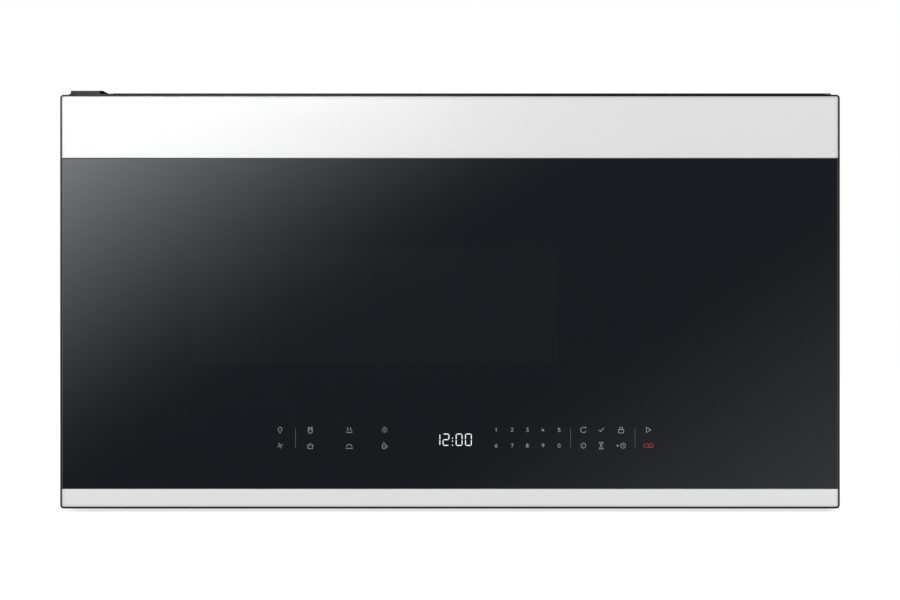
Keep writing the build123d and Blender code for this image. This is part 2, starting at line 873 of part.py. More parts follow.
def cavity_box():
    """The enamelled oven box, open at the front, with its recessed track, feed and air holes."""
    box = cavity_skin(sheet) - cavity_skin(0)
    box -= rod_z(cavity_centre_x, tray_centre_y, track_floor - sheet, track_floor,
                 shaft_hole_radius)
    feed_z = waveguide_bottom + feed_rise
    box -= block(cavity_right, cavity_right + sheet, waveguide_centre_y - feed_width / 2,
                 waveguide_centre_y + feed_width / 2, feed_z, feed_z + feed_height)
    wall = Plane.YZ.offset(cavity_right)
    lamp = GridLocations(lamp_hole_pitch, lamp_hole_pitch, lamp_hole_columns, lamp_hole_rows)
    place = Pos(y_case + lamp_hole_from_front, cavity_top - lamp_hole_drop)
    holes = [wall * place * spot * Circle(lamp_hole_radius) for spot in lamp]
    place = Pos(cavity_back - vent_slot_from_back, cavity_top - vent_slot_drop)
    slot = SlotOverall(vent_slot_length, vent_slot_width)
    vents = GridLocations(vent_slot_pitch, vent_slot_pitch, vent_slot_count, 1)
    holes += [wall * place * spot * Rot(Z=90) * slot for spot in vents]
    return box - [extrude(hole, sheet) for hole in holes]


def turntable_motor():
    """The slow motor under the cavity floor."""
    x, y = cavity_centre_x, tray_centre_y
    top = track_floor - sheet - motor_gap
    body = rod_z(x, y, top - motor_height, top, motor_radius)
    reach = motor_radius + motor_ear
    ears = slab_z(x - reach, x + reach, y - motor_ear, y + motor_ear, top - motor_ear_thickness,
                  top, motor_ear / 2)
    body += ears
    for side in (-1, 1):
        body -= rod_z(x + side * (reach - motor_ear / 2), y, top - motor_ear_thickness, top,
                      screw_hole_radius)
        body += rod_z(x + side * motor_boss_place, y, top, top + motor_gap, motor_ear / 2)
    return body


def shaft_section(gap):
    """The drive shaft's round section with one flat."""
    return Circle(shaft_radius + gap) & Pos(-(shaft_radius - shaft_flat) / 2 - gap / 2, 0) * Rectangle(
        shaft_radius + shaft_flat + gap, 2 * (shaft_radius + 1))


def turntable_shaft():
    """The motor's output shaft, up through the cavity floor."""
    z0 = track_floor - sheet - motor_gap
    z1 = tray_bottom - coupler_gap - coupler_height / 3
    return extrude(Plane.XY.offset(z0) * Pos(cavity_centre_x, tray_centre_y) * shaft_section(0),
                   z1 - z0)


def turntable_coupler():
    """The three-armed drive hub that turns the tray by its lugs."""
    z1 = tray_bottom - coupler_gap
    z0 = z1 - coupler_height
    place = Plane.XY.offset(z0) * Pos(cavity_centre_x, tray_centre_y)
    sketch = Circle(coupler_hub_radius)
    for k in range(coupler_arms):
        arm = Pos(coupler_reach / 2, 0) * SlotOverall(coupler_reach + coupler_arm_width / 2,
                                                      coupler_arm_width)
        sketch += Rot(Z=360 / coupler_arms * k) * arm
    hub = extrude(place * sketch, coupler_height)
    upper = [e for e in hub.edges() if e.center().Z > z1 - 0.01]
    hub = chamfer(upper, coupler_chamfer)
    bore = extrude(place * shaft_section(pin_running_gap), coupler_height * 2 / 3 + pin_running_gap)
    return hub - bore


def glass_tray():
    """The glass tray: a disc with a raised rim, and three lugs under its middle."""
    z0, r = tray_bottom, tray_radius
    flat = r - tray_rim_width
    top = z0 + tray_thickness
    outline = Polyline((0, z0), (flat, z0), (r, z0 + tray_rim_rise), (r, top + tray_rim_rise),
                       (r - tray_thickness, top + tray_rim_rise), (flat - 2, top), (0, top),
                       close=True)
    tray = revolve(Plane.XZ * make_face(outline), Axis.Z)
    tray = Pos(cavity_centre_x, tray_centre_y, 0) * tray
    for k in range(coupler_arms):
        angle = math.tau * (k + 0.5) / coupler_arms
        tray += rod_z(cavity_centre_x + lug_circle * math.cos(angle),
                      tray_centre_y + lug_circle * math.sin(angle), z0 - lug_drop, z0, lug_radius)
    return tray


def roller_ring():
    """The ring that carries the rollers, with a stub axle for each."""
    x, y = cavity_centre_x, tray_centre_y
    z0, z1 = roller_axle_z - ring_rail / 2, roller_axle_z + ring_rail / 2
    ring = rod_z(x, y, z0, z1, ring_outer) - rod_z(x, y, z0, z1, ring_inner)
    for k in range(roller_count):
        start, end = ring_inner + ring_rail / 2, roller_circle + roller_width / 2 + 2
        axle = rod_x(0, roller_axle_z, start, end, roller_axle_radius)
        ring += Pos(x, y, 0) * Rot(Z=360 / roller_count * k) * axle
    return ring


def roller(k):
    """One roller on its axle."""
    start = roller_circle - roller_width / 2
    wheel = rod_x(0, roller_axle_z, start, start + roller_width, roller_radius)
    wheel = chamfer(wheel.edges(), roller_edge)
    wheel -= rod_x(0, roller_axle_z, start, start + roller_width, roller_bore_radius)
    return Pos(cavity_centre_x, tray_centre_y, 0) * Rot(Z=360 / roller_count * k) * wheel


# ---------------------------------------------------------------------------------------------
# Microwave generator and its cooling fan
# ---------------------------------------------------------------------------------------------

def waveguide():
    """The duct on the cavity's right wall, from the magnetron's antenna to the feed."""
    x0, x1 = bay_left, bay_left + waveguide_depth
    y0, y1 = waveguide_centre_y - waveguide_width / 2, waveguide_centre_y + waveguide_width / 2
    z0, z1 = waveguide_bottom, waveguide_bottom + waveguide_height
    duct = block(x0, x1, y0, y1, z0, z1)
    duct -= block(x0, x1 - sheet, y0 + sheet, y1 - sheet, z0 + sheet, z1 - sheet)
    duct += block(x0, x0 + sheet, y0 - flange, y1 + flange, z0, z1) - block(
        x0, x0 + sheet, y0 + sheet, y1 - sheet, z0 + sheet, z1 - sheet)
    return duct - rod_x(waveguide_centre_y, magnetron_middle, x1 - sheet, x1,
                        antenna_hole_radius)


def waveguide_cover():
    """The mica sheet that closes the feed inside the cavity."""
    feed_z = waveguide_bottom + feed_rise
    half = feed_width / 2 + mica_margin
    place = Plane.YZ.offset(cavity_right - mica_thickness)
    sketch = Pos(waveguide_centre_y, feed_z + feed_height / 2) * rounded(
        2 * half, feed_height + 2 * mica_margin, mica_margin / 2)
    return extrude(place * sketch, mica_thickness)


def magnetron_yoke():
    """The magnetron's steel frame, open along Y for the cooling air, and its terminal box."""
    y0, y1 = waveguide_centre_y - yoke_width / 2, waveguide_centre_y + yoke_width / 2
    z0, z1 = magnetron_middle - yoke_height / 2, magnetron_top
    x0, x1 = magnetron_left, magnetron_right
    frame = block(x0, x1, y0, y1, z0, z1)
    frame -= block(x0 + yoke_wall, x1 - yoke_wall, y0, y1, z0 + yoke_wall, z1 - yoke_wall)
    frame -= rod_x(waveguide_centre_y, magnetron_middle, x0, x0 + yoke_wall, antenna_hole_radius)
    box = block(x1, x1 + filter_box_length, waveguide_centre_y - filter_box_width / 2,
                waveguide_centre_y + filter_box_width / 2,
                magnetron_middle - filter_box_height / 2,
                magnetron_middle + filter_box_height / 2)
    return frame + fillet(box.edges().filter_by(Axis.X), 3)


def magnetron_anode():
    """The magnetron's anode with its magnets, stacked cooling fins and antenna."""
    y, z = waveguide_centre_y, magnetron_middle
    x0, x1 = magnetron_left + yoke_wall, magnetron_right - yoke_wall
    body = rod_x(y, z, x0, x1, anode_radius)
    body += rod_x(y, z, x0, x0 + magnet_thickness, magnet_radius)
    body += rod_x(y, z, x1 - magnet_thickness, x1, magnet_radius)
    half_y, half_z = yoke_width / 2 - fin_gap, yoke_height / 2 - yoke_wall - fin_gap
    middle = (x0 + x1) / 2
    room = x1 - x0 - 2 * magnet_thickness
    for x in spread(fin_count, room * (fin_count - 1) / (fin_count + 1)):
        body += block(middle + x - fin_thickness / 2, middle + x + fin_thickness / 2,
                      y - half_y, y + half_y, z - half_z, z + half_z)
    antenna = rod_x(y, z, x0 - antenna_length, x0, antenna_radius)
    return body + fillet(antenna.edges().sort_by(Axis.X)[0], 2)


def component_shelf():
    """The floor of the component bay, on legs that stand on the base panel and the case."""
    x0, x1 = bay_left + seam_gap, side_inner - seam_gap
    y0, y1 = y_case + 2 * flange, y_case_back - 2 * flange
    shelf = block(x0, x1, y0, y1, shelf_height, shelf_top)
    left_leg = block(x0, x0 + sheet, y0, y1, sheet, shelf_height)
    reach = filter_depth / 2 + shelf_leg_relief
    left_leg -= block(x0, x0 + sheet, filter_centre_y - reach, filter_centre_y + reach, sheet,
                      shelf_height - shelf_leg_relief)
    right_leg = block(x1 - sheet, x1, y0, y1, case_bottom + sheet, shelf_height)
    return shelf + left_leg + right_leg


def transformer_core():
    """The laminated core of the high-voltage transformer, with two windows."""
    x0, x1 = bay_middle - core_width / 2, bay_middle + core_width / 2
    y0, y1 = core_centre_y - core_depth / 2, core_centre_y + core_depth / 2
    core = block(x0, x1, y0, y1, shelf_top, shelf_top + core_height)
    window = (core_width - 4 * core_leg) / 2
    for side in (-1, 1):
        inner = bay_middle + side * core_leg
        outer = inner + side * window
        core -= block(min(inner, outer), max(inner, outer), y0, y1, shelf_top + core_leg,
                      shelf_top + core_height - core_leg)
    return core


def transformer_coils():
    """The two windings on the core's middle leg."""
    window = (core_width - 4 * core_leg) / 2
    inner_x, inner_y = core_leg + coil_gap, core_depth / 2 + coil_gap
    outer_x, outer_y = core_leg + window - coil_gap, core_depth / 2 + coil_wall
    z0, z1 = shelf_top + core_leg + coil_gap, shelf_top + core_height - core_leg - coil_gap
    middle = (z0 + z1) / 2
    pieces = []
    for low, high in ((z0, middle - coil_gap), (middle + coil_gap, z1)):
        coil = slab_z(bay_middle - outer_x, bay_middle + outer_x, core_centre_y - outer_y,
                      core_centre_y + outer_y, low, high, coil_wall / 2)
        coil -= block(bay_middle - inner_x, bay_middle + inner_x, core_centre_y - inner_y,
                      core_centre_y + inner_y, low, high)
        pieces.append(coil)
    return group(pieces)


def capacitor():
    """The oval high-voltage capacitor, lying on the shelf, with its two terminals."""
    x0, x1 = bay_middle - capacitor_width / 2, bay_middle + capacitor_width / 2
    y0, y1 = capacitor_centre_y - capacitor_depth / 2, capacitor_centre_y + capacitor_depth / 2
    can = extrude(Plane.YZ.offset(x0) * Pos(capacitor_centre_y, shelf_top + capacitor_height / 2)
                  * rounded(capacitor_depth, capacitor_height, capacitor_height / 2 - 0.01),
                  capacitor_width)
    for y in (y0 + capacitor_depth / 3, y1 - capacitor_depth / 3):
        can += block(x0 - terminal_tab, x0, y - terminal_width / 2, y + terminal_width / 2,
                     shelf_top + capacitor_height / 2,
                     shelf_top + capacitor_height / 2 + terminal_thickness)
    return can


def power_board():
    """The relay board that stands along the bay's right side."""
    x1 = side_inner - board_side_gap
    x0 = x1 - board_thickness
    y0, y1 = board_centre_y - board_length / 2, board_centre_y + board_length / 2
    board = block(x0, x1, y0, y1, board_bottom, board_bottom + board_height)
    for k, offset in enumerate(spread(relay_count, relay_pitch * (relay_count - 1))):
        y = board_centre_y + offset
        z = board_bottom + board_height / 3 + (k % 2) * relay_pitch
        board += block(x0 - relay_size, x0, y - relay_size / 2, y + relay_size / 2, z,
                       z + relay_size)
    standoffs = [(y0 + terminal_tab, board_bottom + terminal_tab),
                 (y1 - terminal_tab, board_bottom + board_height - terminal_tab)]
    for y, z in standoffs:
        board += rod_x(y, z, x1, side_inner, screw_head_radius)
    return board


def cavity_lamp():
    """The oven lamp in its holder, outside the lamp holes."""
    y = y_case + lamp_hole_from_front
    z = cavity_top - lamp_hole_drop
    holder = block(bay_left, bay_left + cavity_lamp_depth, y - cavity_lamp_width / 2,
                   y + cavity_lamp_width / 2, z - cavity_lamp_height / 2,
                   z + cavity_lamp_height / 2)
    holder -= block(bay_left, bay_left + cavity_lamp_depth - 2, y - cavity_lamp_width / 2 + 2,
                    y + cavity_lamp_width / 2 - 2, z - cavity_lamp_height / 2 + 2,
                    z + cavity_lamp_height / 2 - 2)
    return holder + rod_x(y, z, bay_left + cavity_lamp_depth / 2,
                          bay_left + cavity_lamp_depth, lamp_led_radius)


def cooling_fan_shroud():
    """The square fan duct behind the magnetron, on an arm from the cavity wall."""
    half = fan_shroud_size / 2
    y0, y1 = fan_front_y, fan_front_y + fan_shroud_depth
    plate = slab_y(fan_x - half, fan_x + half, magnetron_middle - half, magnetron_middle + half,
                   y0, y0 + fan_shroud_thickness, 4)
    low, high = magnetron_middle - fan_arm_height / 2, magnetron_middle + fan_arm_height / 2
    plate += block(bay_left, fan_x, y0, y0 + fan_shroud_thickness, low, high)
    plate += block(bay_left, bay_left + fan_shroud_thickness, y0, y0 + fan_arm_flange, low, high)
    bore = fan_radius + fan_tip_gap
    plate += rod_y(fan_x, magnetron_middle, y0, y1, bore + fan_shroud_thickness)
    return plate - rod_y(fan_x, magnetron_middle, y0, y1, bore)


def cooling_fan_motor():
    """The fan motor on its cross strut, with the shaft's bearing bore."""
    y0 = fan_front_y + fan_shroud_depth
    body = rod_y(fan_x, magnetron_middle, y0 + fan_motor_gap, y0 + fan_motor_gap
                 + fan_motor_length, fan_motor_radius)
    reach = fan_radius + fan_tip_gap + fan_shroud_thickness
    body += block(fan_x - reach, fan_x + reach, y0, y0 + fan_motor_gap + 1,
                  magnetron_middle - fan_strut / 2, magnetron_middle + fan_strut / 2)
    return body - rod_y(fan_x, magnetron_middle, y0, y0 + fan_motor_gap + fan_motor_length,
                        fan_shaft_radius + fan_shaft_gap)


def cooling_fan_blade():
    """The cooling fan's rotor with its shaft."""
    y0 = fan_front_y + (fan_shroud_depth - fan_hub_length) / 2
    z = magnetron_middle
    rotor = rod_y(fan_x, z, y0, y0 + fan_hub_length, fan_hub_radius)
    length = fan_radius - fan_hub_radius + 2
    for k in range(fan_blade_count):
        blade = Rot(Z=fan_blade_pitch) * Box(fan_blade_chord, fan_blade_thickness, length)
        blade = Pos(0, 0, fan_radius - length / 2) * blade
        blade &= Rot(X=90) * Cylinder(fan_radius, fan_hub_length)
        turned = Rot(Y=360 / fan_blade_count * k) * blade
        rotor += Pos(fan_x, y0 + fan_hub_length / 2, z) * turned
    motor_back = fan_front_y + fan_shroud_depth + fan_motor_gap + fan_motor_length
    return rotor + rod_y(fan_x, z, y0 + fan_hub_length, motor_back - 2, fan_shaft_radius)


# ---------------------------------------------------------------------------------------------
# Vent blower
# ---------------------------------------------------------------------------------------------

def scroll_body(x0, x1, inset):
    """A scroll with its outlet duct towards the front, taken in by the inset."""
    body = rod_x(scroll_centre_y, scroll_centre_z, x0, x1, scroll_radius - inset)
    return body + block(x0, x1, scroll_outlet_y, scroll_centre_y, scroll_centre_z + inset,
                        scroll_top - inset)


def blower_foot(x):
    """A foot from the cavity's top up to the blower's axis."""
    half = blower_foot_width / 2
    return block(x - half, x + half, scroll_centre_y - half, scroll_centre_y + half, foot_bottom,
                 scroll_centre_z)


def blower_housing():
    """Two scroll housings, one at each end of the blower motor."""
    scrolls = []
    for x0 in scroll_starts:
        x1 = x0 + scroll_width
        shell = scroll_body(x0, x1, 0) + blower_foot((x0 + x1) / 2)
        shell -= scroll_body(x0 + scroll_wall, x1 - scroll_wall, scroll_wall)
        shell -= rod_x(scroll_centre_y, scroll_centre_z, x0, x1, scroll_inlet_radius)
        scrolls.append(shell)
    return group(scrolls)


def blower_motor():
    """The motor between the scrolls, on its foot, with a bore for the shaft."""
    x0 = blower_left + scroll_width + blower_motor_gap
    x1 = blower_right - scroll_width - blower_motor_gap
    body = rod_x(scroll_centre_y, scroll_centre_z, x0, x1, blower_motor_radius)
    body += blower_foot((x0 + x1) / 2)
    return body - rod_x(scroll_centre_y, scroll_centre_z, x0, x1,
                        blower_shaft_radius + blower_shaft_gap)


def blower_wheel(x0, x1):
    """A squirrel-cage wheel: two end rings, a middle disc with its hub, and forward blades."""
    y, z = scroll_centre_y, scroll_centre_z
    inner = wheel_radius - wheel_blade_depth
    wheel = rod_x(y, z, x0, x0 + wheel_ring, wheel_radius) - rod_x(y, z, x0, x0 + wheel_ring,
                                                                  inner)
    wheel += rod_x(y, z, x1 - wheel_ring, x1, wheel_radius) - rod_x(y, z, x1 - wheel_ring, x1,
                                                                   inner)
    middle = (x0 + x1) / 2
    wheel += rod_x(y, z, middle - wheel_ring / 2, middle + wheel_ring / 2, wheel_radius)
    wheel += rod_x(y, z, middle - 3 * wheel_ring, middle + 3 * wheel_ring, wheel_hub_radius)
    blade = Box(x1 - x0, wheel_blade_thickness, wheel_blade_depth - wheel_blade_thickness)
    blade = Pos(0, 0, wheel_radius - wheel_blade_depth / 2) * Rot(X=wheel_blade_lean) * blade
    wheel += [Pos(middle, y, z) * Rot(X=360 / wheel_blade_count * k) * blade
              for k in range(wheel_blade_count)]
    return wheel - rod_x(y, z, x0, x1, blower_shaft_radius)


def blower_rotor():
    """Both wheels and the shaft that carries them."""
    wheels = [blower_wheel(x0 + wheel_end_gap, x0 + scroll_width - wheel_end_gap)
              for x0 in scroll_starts]
    shaft = rod_x(scroll_centre_y, scroll_centre_z, blower_left + blower_shaft_end,
                  blower_right - blower_shaft_end, blower_shaft_radius)
    return group(wheels + [shaft])


# ---------------------------------------------------------------------------------------------
# Grease filters and cooktop lamps
# ---------------------------------------------------------------------------------------------

def grease_filter(side):
    """An aluminium filter: a channel frame with cross bars and a pull tab, round two mesh sheets."""
    x, y = side * filter_centre_x, filter_centre_y
    x0, x1 = x - filter_width / 2, x + filter_width / 2
    y0, y1 = y - filter_depth / 2, y + filter_depth / 2
    z0, z1 = filter_rise, filter_rise + filter_height
    wall, rim = filter_wall, filter_rim
    frame = block(x0, x1, y0, y1, z0, z1)
    frame -= block(x0 + rim, x1 - rim, y0 + rim, y1 - rim, z0, z1)
    frame -= block(x0 + wall, x1 - wall, y0 + wall, y1 - wall, z0 + wall, z1 - wall)
    for fraction in (-1, 1):
        bar = x + fraction * filter_width / 6
        frame += block(bar - filter_bar / 2, bar + filter_bar / 2, y0 + rim, y1 - rim, z0,
                       z0 + wall)
    frame += slab_z(x - tab_width / 2, x + tab_width / 2, y0 + rim - wall,
                    y0 + rim + tab_depth, z0, z0 + tab_thickness, 2)
    lower = block(x0 + wall, x1 - wall, y0 + wall, y1 - wall, z0 + wall, z0 + wall + filter_mesh)
    upper = block(x0 + wall, x1 - wall, y0 + wall, y1 - wall, z1 - wall - filter_mesh, z1 - wall)
    return group([frame, lower, upper])


def cooktop_lamp_lenses():
    """The two lenses over the cooktop lamps: a dished window with a lip on the base panel."""
    lenses = []
    for side in (-1, 1):
        x, y = side * lamp_centre_x, lamp_centre_y
        half_x, half_y = lamp_width / 2, lamp_depth / 2
        lip = slab_z(x - half_x - lamp_lip, x + half_x + lamp_lip, y - half_y - lamp_lip,
                     y + half_y + lamp_lip, sheet, sheet + lamp_lip_thickness,
                     lamp_corner_radius)
        dish = slab_z(x - half_x + seam_gap, x + half_x - seam_gap, y - half_y + seam_gap,
                      y + half_y - seam_gap, lamp_rise, sheet + lamp_lip_thickness,
                      lamp_corner_radius)
        hollow = slab_z(x - half_x + lamp_wall, x + half_x - lamp_wall, y - half_y + lamp_wall,
                        y + half_y - lamp_wall, lamp_rise + lamp_wall,
                        sheet + lamp_lip_thickness, lamp_corner_radius - lamp_wall)
        lenses.append(lip + dish - hollow)
    return group(lenses)


def cooktop_lamp_modules():
    """The two lamp modules above the lenses: a reflector tray with a pair of lamps."""
    modules = []
    for side in (-1, 1):
        x, y = side * lamp_centre_x, lamp_centre_y
        half_x, half_y = lamp_width / 2 - lamp_module_inset, lamp_depth / 2 - lamp_module_inset / 2
        z0 = sheet + lamp_lip_thickness
        z1 = z0 + lamp_module_height
        tray = block(x - half_x, x + half_x, y - half_y, y + half_y, z0, z1)
        tray -= block(x - half_x + lamp_wall, x + half_x - lamp_wall, y - half_y + lamp_wall,
                      y + half_y - lamp_wall, z0, z1 - lamp_wall)
        for dx in (-lamp_led_spacing / 2, lamp_led_spacing / 2):
            tray += rod_z(x + dx, y, z1 - lamp_wall - lamp_led_height, z1 - lamp_wall,
                          lamp_led_radius)
        modules.append(tray)
    return group(modules)


# ---------------------------------------------------------------------------------------------
# Door hinges and latch parts on the case
# ---------------------------------------------------------------------------------------------

lower_leaf_top = lower_leaf_height + hinge_leaf
notch_top = lower_leaf_top + bush_stand_off + bush_flange_thickness


def upper_hinge():
    """The upper bracket: a leaf over the door with its pin, and a leg behind the front plate."""
    x0, x1 = pivot_x - upper_leaf_side, pivot_x - upper_leaf_side + upper_leaf_width
    y0, y1 = pivot_y - upper_leaf_nose, y_case + sheet + hinge_leaf
    leaf = block(x0, x1, y0, y1, plate_top, plate_top + hinge_leaf)
    leaf = chamfer(leaf.edges().filter_by(Axis.Z).group_by(Axis.Y)[0], 2)
    leg = block(x0, x1, y_case + sheet, y1, plate_top - hinge_leg_height, plate_top)
    pin = rod_z(pivot_x, pivot_y, door_top - bush_length, plate_top, pin_radius)
    pin = chamfer(pin.edges().sort_by(Axis.Z)[0], pin_chamfer)
    return leaf + leg + pin


def lower_hinge():
    """The lower bracket: a leaf in the door's notch with its pin, and a leg behind the plate."""
    half = lower_leaf_width / 2
    y1 = y_case + sheet + hinge_leaf
    z0 = lower_leaf_height
    leaf = block(pivot_x - half, pivot_x + half, pivot_y, y1, z0, lower_leaf_top)
    leaf += rod_z(pivot_x, pivot_y, z0, lower_leaf_top, half)
    leg = block(pivot_x - half, pivot_x + half, y_case + sheet, y1, z0, z0 + lower_leg_height)
    pin = rod_z(pivot_x, pivot_y, lower_leaf_top,
                notch_top + bush_length - bush_flange_thickness, pin_radius)
    pin = chamfer(pin.edges().sort_by(Axis.Z)[-1], pin_chamfer)
    return leaf + leg + pin


def hinge_cover():
    """The moulded cap over the upper hinge, with one sloping end."""
    leaf_top = plate_top + hinge_leaf
    top = leaf_top + cap_roof
    skirt_bottom = plate_top - cap_gap
    y0 = pivot_y - upper_leaf_nose - cap_gap - cap_wall
    y1 = y_case - cap_gap
    slope = cap_right - cap_slope_run
    front = profile_y([(cap_left, skirt_bottom), (cap_right, skirt_bottom),
                       (cap_right, top - cap_slope_drop), (slope, top), (cap_left, top)], y0, y1)
    tail_right = slope + cap_slope_run * (top - case_height) / cap_slope_drop
    tail = profile_y([(cap_left, case_height), (tail_right, case_height), (slope, top),
                      (cap_left, top)], y1, y_case + cap_tail)
    hollow = block(cap_left + cap_wall, cap_inner_right, y0 + cap_wall, y1, skirt_bottom,
                   leaf_top)
    return front + tail - hollow


def latch_board():
    """The bracket behind the front plate with the three catches and the switch seats."""
    x0 = latch_x + switch_width / 2
    y0 = y_case + sheet
    z0, z1 = latch_heights[0] - latch_board_margin, latch_heights[-1] + latch_board_margin
    board = block(x0, x0 + latch_board_thickness, y0, y0 + latch_board_depth, z0, z1)
    for z in latch_heights[::2]:
        barb_bottom = z - latch_prong_height / 2 - latch_barb_drop
        top = barb_bottom + ledge_engagement
        ledge = profile_x([(y0, top - ledge_height), (y0 + ledge_depth, top - ledge_height),
                           (y0 + ledge_depth, top), (y0, top - 1)],
                          latch_x - latch_slot_width / 2, x0)
        board += ledge
    return board


y_switch = y_case + latch_reach + switch_gap


def interlock_switches():
    """Three door switches, one behind each prong of the latch key, with their terminals."""
    switches = []
    for z in latch_heights:
        y0 = y_switch
        x0, x1 = latch_x - switch_width / 2, latch_x + switch_width / 2
        case = block(x0, x1, y0, y0 + switch_depth, z - switch_height / 2, z + switch_height / 2)
        case -= block(latch_x - button_width / 2 - button_clearance,
                      latch_x + button_width / 2 + button_clearance, y0, y0 + switch_depth / 2,
                      z - button_height / 2 - button_clearance,
                      z + button_height / 2 + button_clearance)
        for dz in (-switch_height / 3, 0, switch_height / 3):
            case += block(latch_x - terminal_thickness / 2, latch_x + terminal_thickness / 2,
                          y0 + switch_depth, y0 + switch_depth + terminal_length,
                          z + dz - terminal_width / 2, z + dz + terminal_width / 2)
        switches.append(case)
    return group(switches)


def switch_buttons():
    """The three switch buttons, which the latch prongs hold in."""
    buttons = []
    for z in latch_heights:
        y0 = y_case + latch_reach + button_gap
        y1 = y_switch + switch_depth / 2 - button_travel - button_clearance
        buttons.append(block(latch_x - button_width / 2, latch_x + button_width / 2, y0, y1,
                             z - button_height / 2, z + button_height / 2))
    return group(buttons)


# ---------------------------------------------------------------------------------------------
# Door
# ---------------------------------------------------------------------------------------------

door_screw_places = [
    (door_screw_shift + x, z) for z in (door_bottom + frame_wall + door_screw_inset,
                                        door_top - frame_wall - door_screw_inset)
    for x in spread(door_screw_columns, door_width - 2 * door_screw_side)
]
screw_seat = y_choke_floor + sheet + screw_well_floor
pull_low = door_middle - pull_height / 2
pull_high = door_middle + pull_height / 2
y_pull = y_door_back - pull_depth_y
boss_front = pivot_y - bush_radius - boss_wall
boss_right = pivot_x + max(bush_radius + boss_wall,
                           lower_leaf_width / 2 + hinge_notch_gap + frame_wall)


def door_frame():
    """The frame round the glass, with the glass ledge, hinge bosses and hinge notch."""
    outer = slab_y(door_left, door_right, door_bottom, door_top, y_frame, y_door_back,
                   frame_corner_radius)
    swing = block(door_left, pivot_x, pivot_y, y_door_back, door_bottom, door_top)
    swing -= rod_z(pivot_x, pivot_y, door_bottom, door_top, swing_radius)
    outer -= swing
    wall = frame_wall
    inner = slab_y(door_left + wall, door_right - wall, door_bottom + wall, door_top - wall,
                   y_frame, y_door_back - wall, frame_corner_radius - wall)
    corner = block(door_left, pivot_x, pivot_y, y_door_back, door_bottom, door_top)
    corner -= rod_z(pivot_x, pivot_y, door_bottom, door_top, swing_radius - wall)
    inner -= corner
    frame = outer - inner
    frame -= block(door_left + frame_return, door_right - wall, y_door_back - wall,
                   y_door_back, door_bottom + wall, door_top - wall)
    ledge = slab_y(door_left + wall, door_right - wall, door_bottom + wall, door_top - wall,
                   y_glass_back, y_glass_back + ledge_thickness, 0)
    ledge -= slab_y(door_left + wall + ledge_width, door_right - wall - ledge_width,
                    door_bottom + wall + ledge_width, door_top - wall - ledge_width,
                    y_glass_back, y_glass_back + ledge_thickness, 2)
    frame += ledge
    notch_front = pivot_y - lower_leaf_width / 2 - hinge_notch_gap
    notch_right = pivot_x + lower_leaf_width / 2 + hinge_notch_gap
    full = slab_y(door_left, door_right, door_bottom, door_top, y_frame, y_door_back,
                  frame_corner_radius) - swing
    walls = block(door_left, notch_right + wall, notch_front - wall, y_door_back, door_bottom,
                  notch_top + wall) & full
    bosses = block(door_left, boss_right, boss_front, y_door_back, notch_top,
                   notch_top + bush_length) & full
    bosses += block(door_left, boss_right, boss_front, y_door_back, door_top - bush_length,
                    door_top) & full
    frame += walls + bosses
    frame -= block(door_left, notch_right, notch_front, y_door_back, door_bottom, notch_top)
    frame -= rod_z(pivot_x, pivot_y, notch_top, notch_top + bush_length, bush_radius)
    frame -= rod_z(pivot_x, pivot_y, door_top - bush_length, door_top, bush_radius)
    for x, z in door_screw_places:
        edge = door_bottom + frame_wall if z < door_middle else door_top - frame_wall
        y0 = y_glass_back + ledge_thickness
        frame += rod_y(x, z, y0, y_choke_floor, screw_post_radius)
        frame += block(x - screw_post_radius, x + screw_post_radius, y0, y_choke_floor,
                       min(edge, z), max(edge, z))
        frame -= rod_y(x, z, y0, y_choke_floor, screw_hole_radius)
    frame -= block(door_right - frame_wall, door_right, y_pull - pull_wall, y_door_back,
                   pull_low - pull_wall, pull_high + pull_wall)
    return frame


def glass_lite(z0, z1, low_corners, high_corners):
    """One pane of the door front, with its outer corners rounded and front edges eased."""
    x0 = door_left + frame_wall + glass_gap
    x1 = door_right - frame_wall - glass_gap
    pane = block(x0, x1, y_glass, y_glass_back, z0, z1)
    levels = pane.edges().filter_by(Axis.Y).group_by(Axis.Z)
    rounds = (levels[0] if low_corners else []) + (levels[-1] if high_corners else [])
    if rounds:
        pane = fillet(rounds, glass_corner_radius)
    return chamfer(pane.faces().sort_by(Axis.Y)[0].edges(), 0.5)


glass_low = door_bottom + frame_wall + glass_gap
glass_high = door_top - frame_wall - glass_gap
lower_seam = door_bottom + lower_band_height
upper_seam = door_top - upper_band_height


def upper_glass():
    """The white upper pane."""
    return glass_lite(upper_seam + glass_seam / 2, glass_high, False, True)


def window_glass():
    """The dark middle pane, with the window and the keys behind it."""
    return glass_lite(lower_seam + glass_seam / 2, upper_seam - glass_seam / 2, False, False)


def lower_glass():
    """The white lower pane."""
    return glass_lite(glass_low, lower_seam - glass_seam / 2, True, False)


def cavity_outline(reach, y0, y1):
    """The cavity opening's outline, a distance outside it."""
    return slab_y(cavity_left - reach, cavity_right + reach, cavity_floor - reach,
                  cavity_top + reach, y0, y1, max(cavity_corner_radius + reach, 1))


def choke_ring(outer, inner, y0, y1):
    """A ring round the cavity opening, between two distances outside it."""
    return cavity_outline(outer, y0, y1) - cavity_outline(inner, y0, y1)


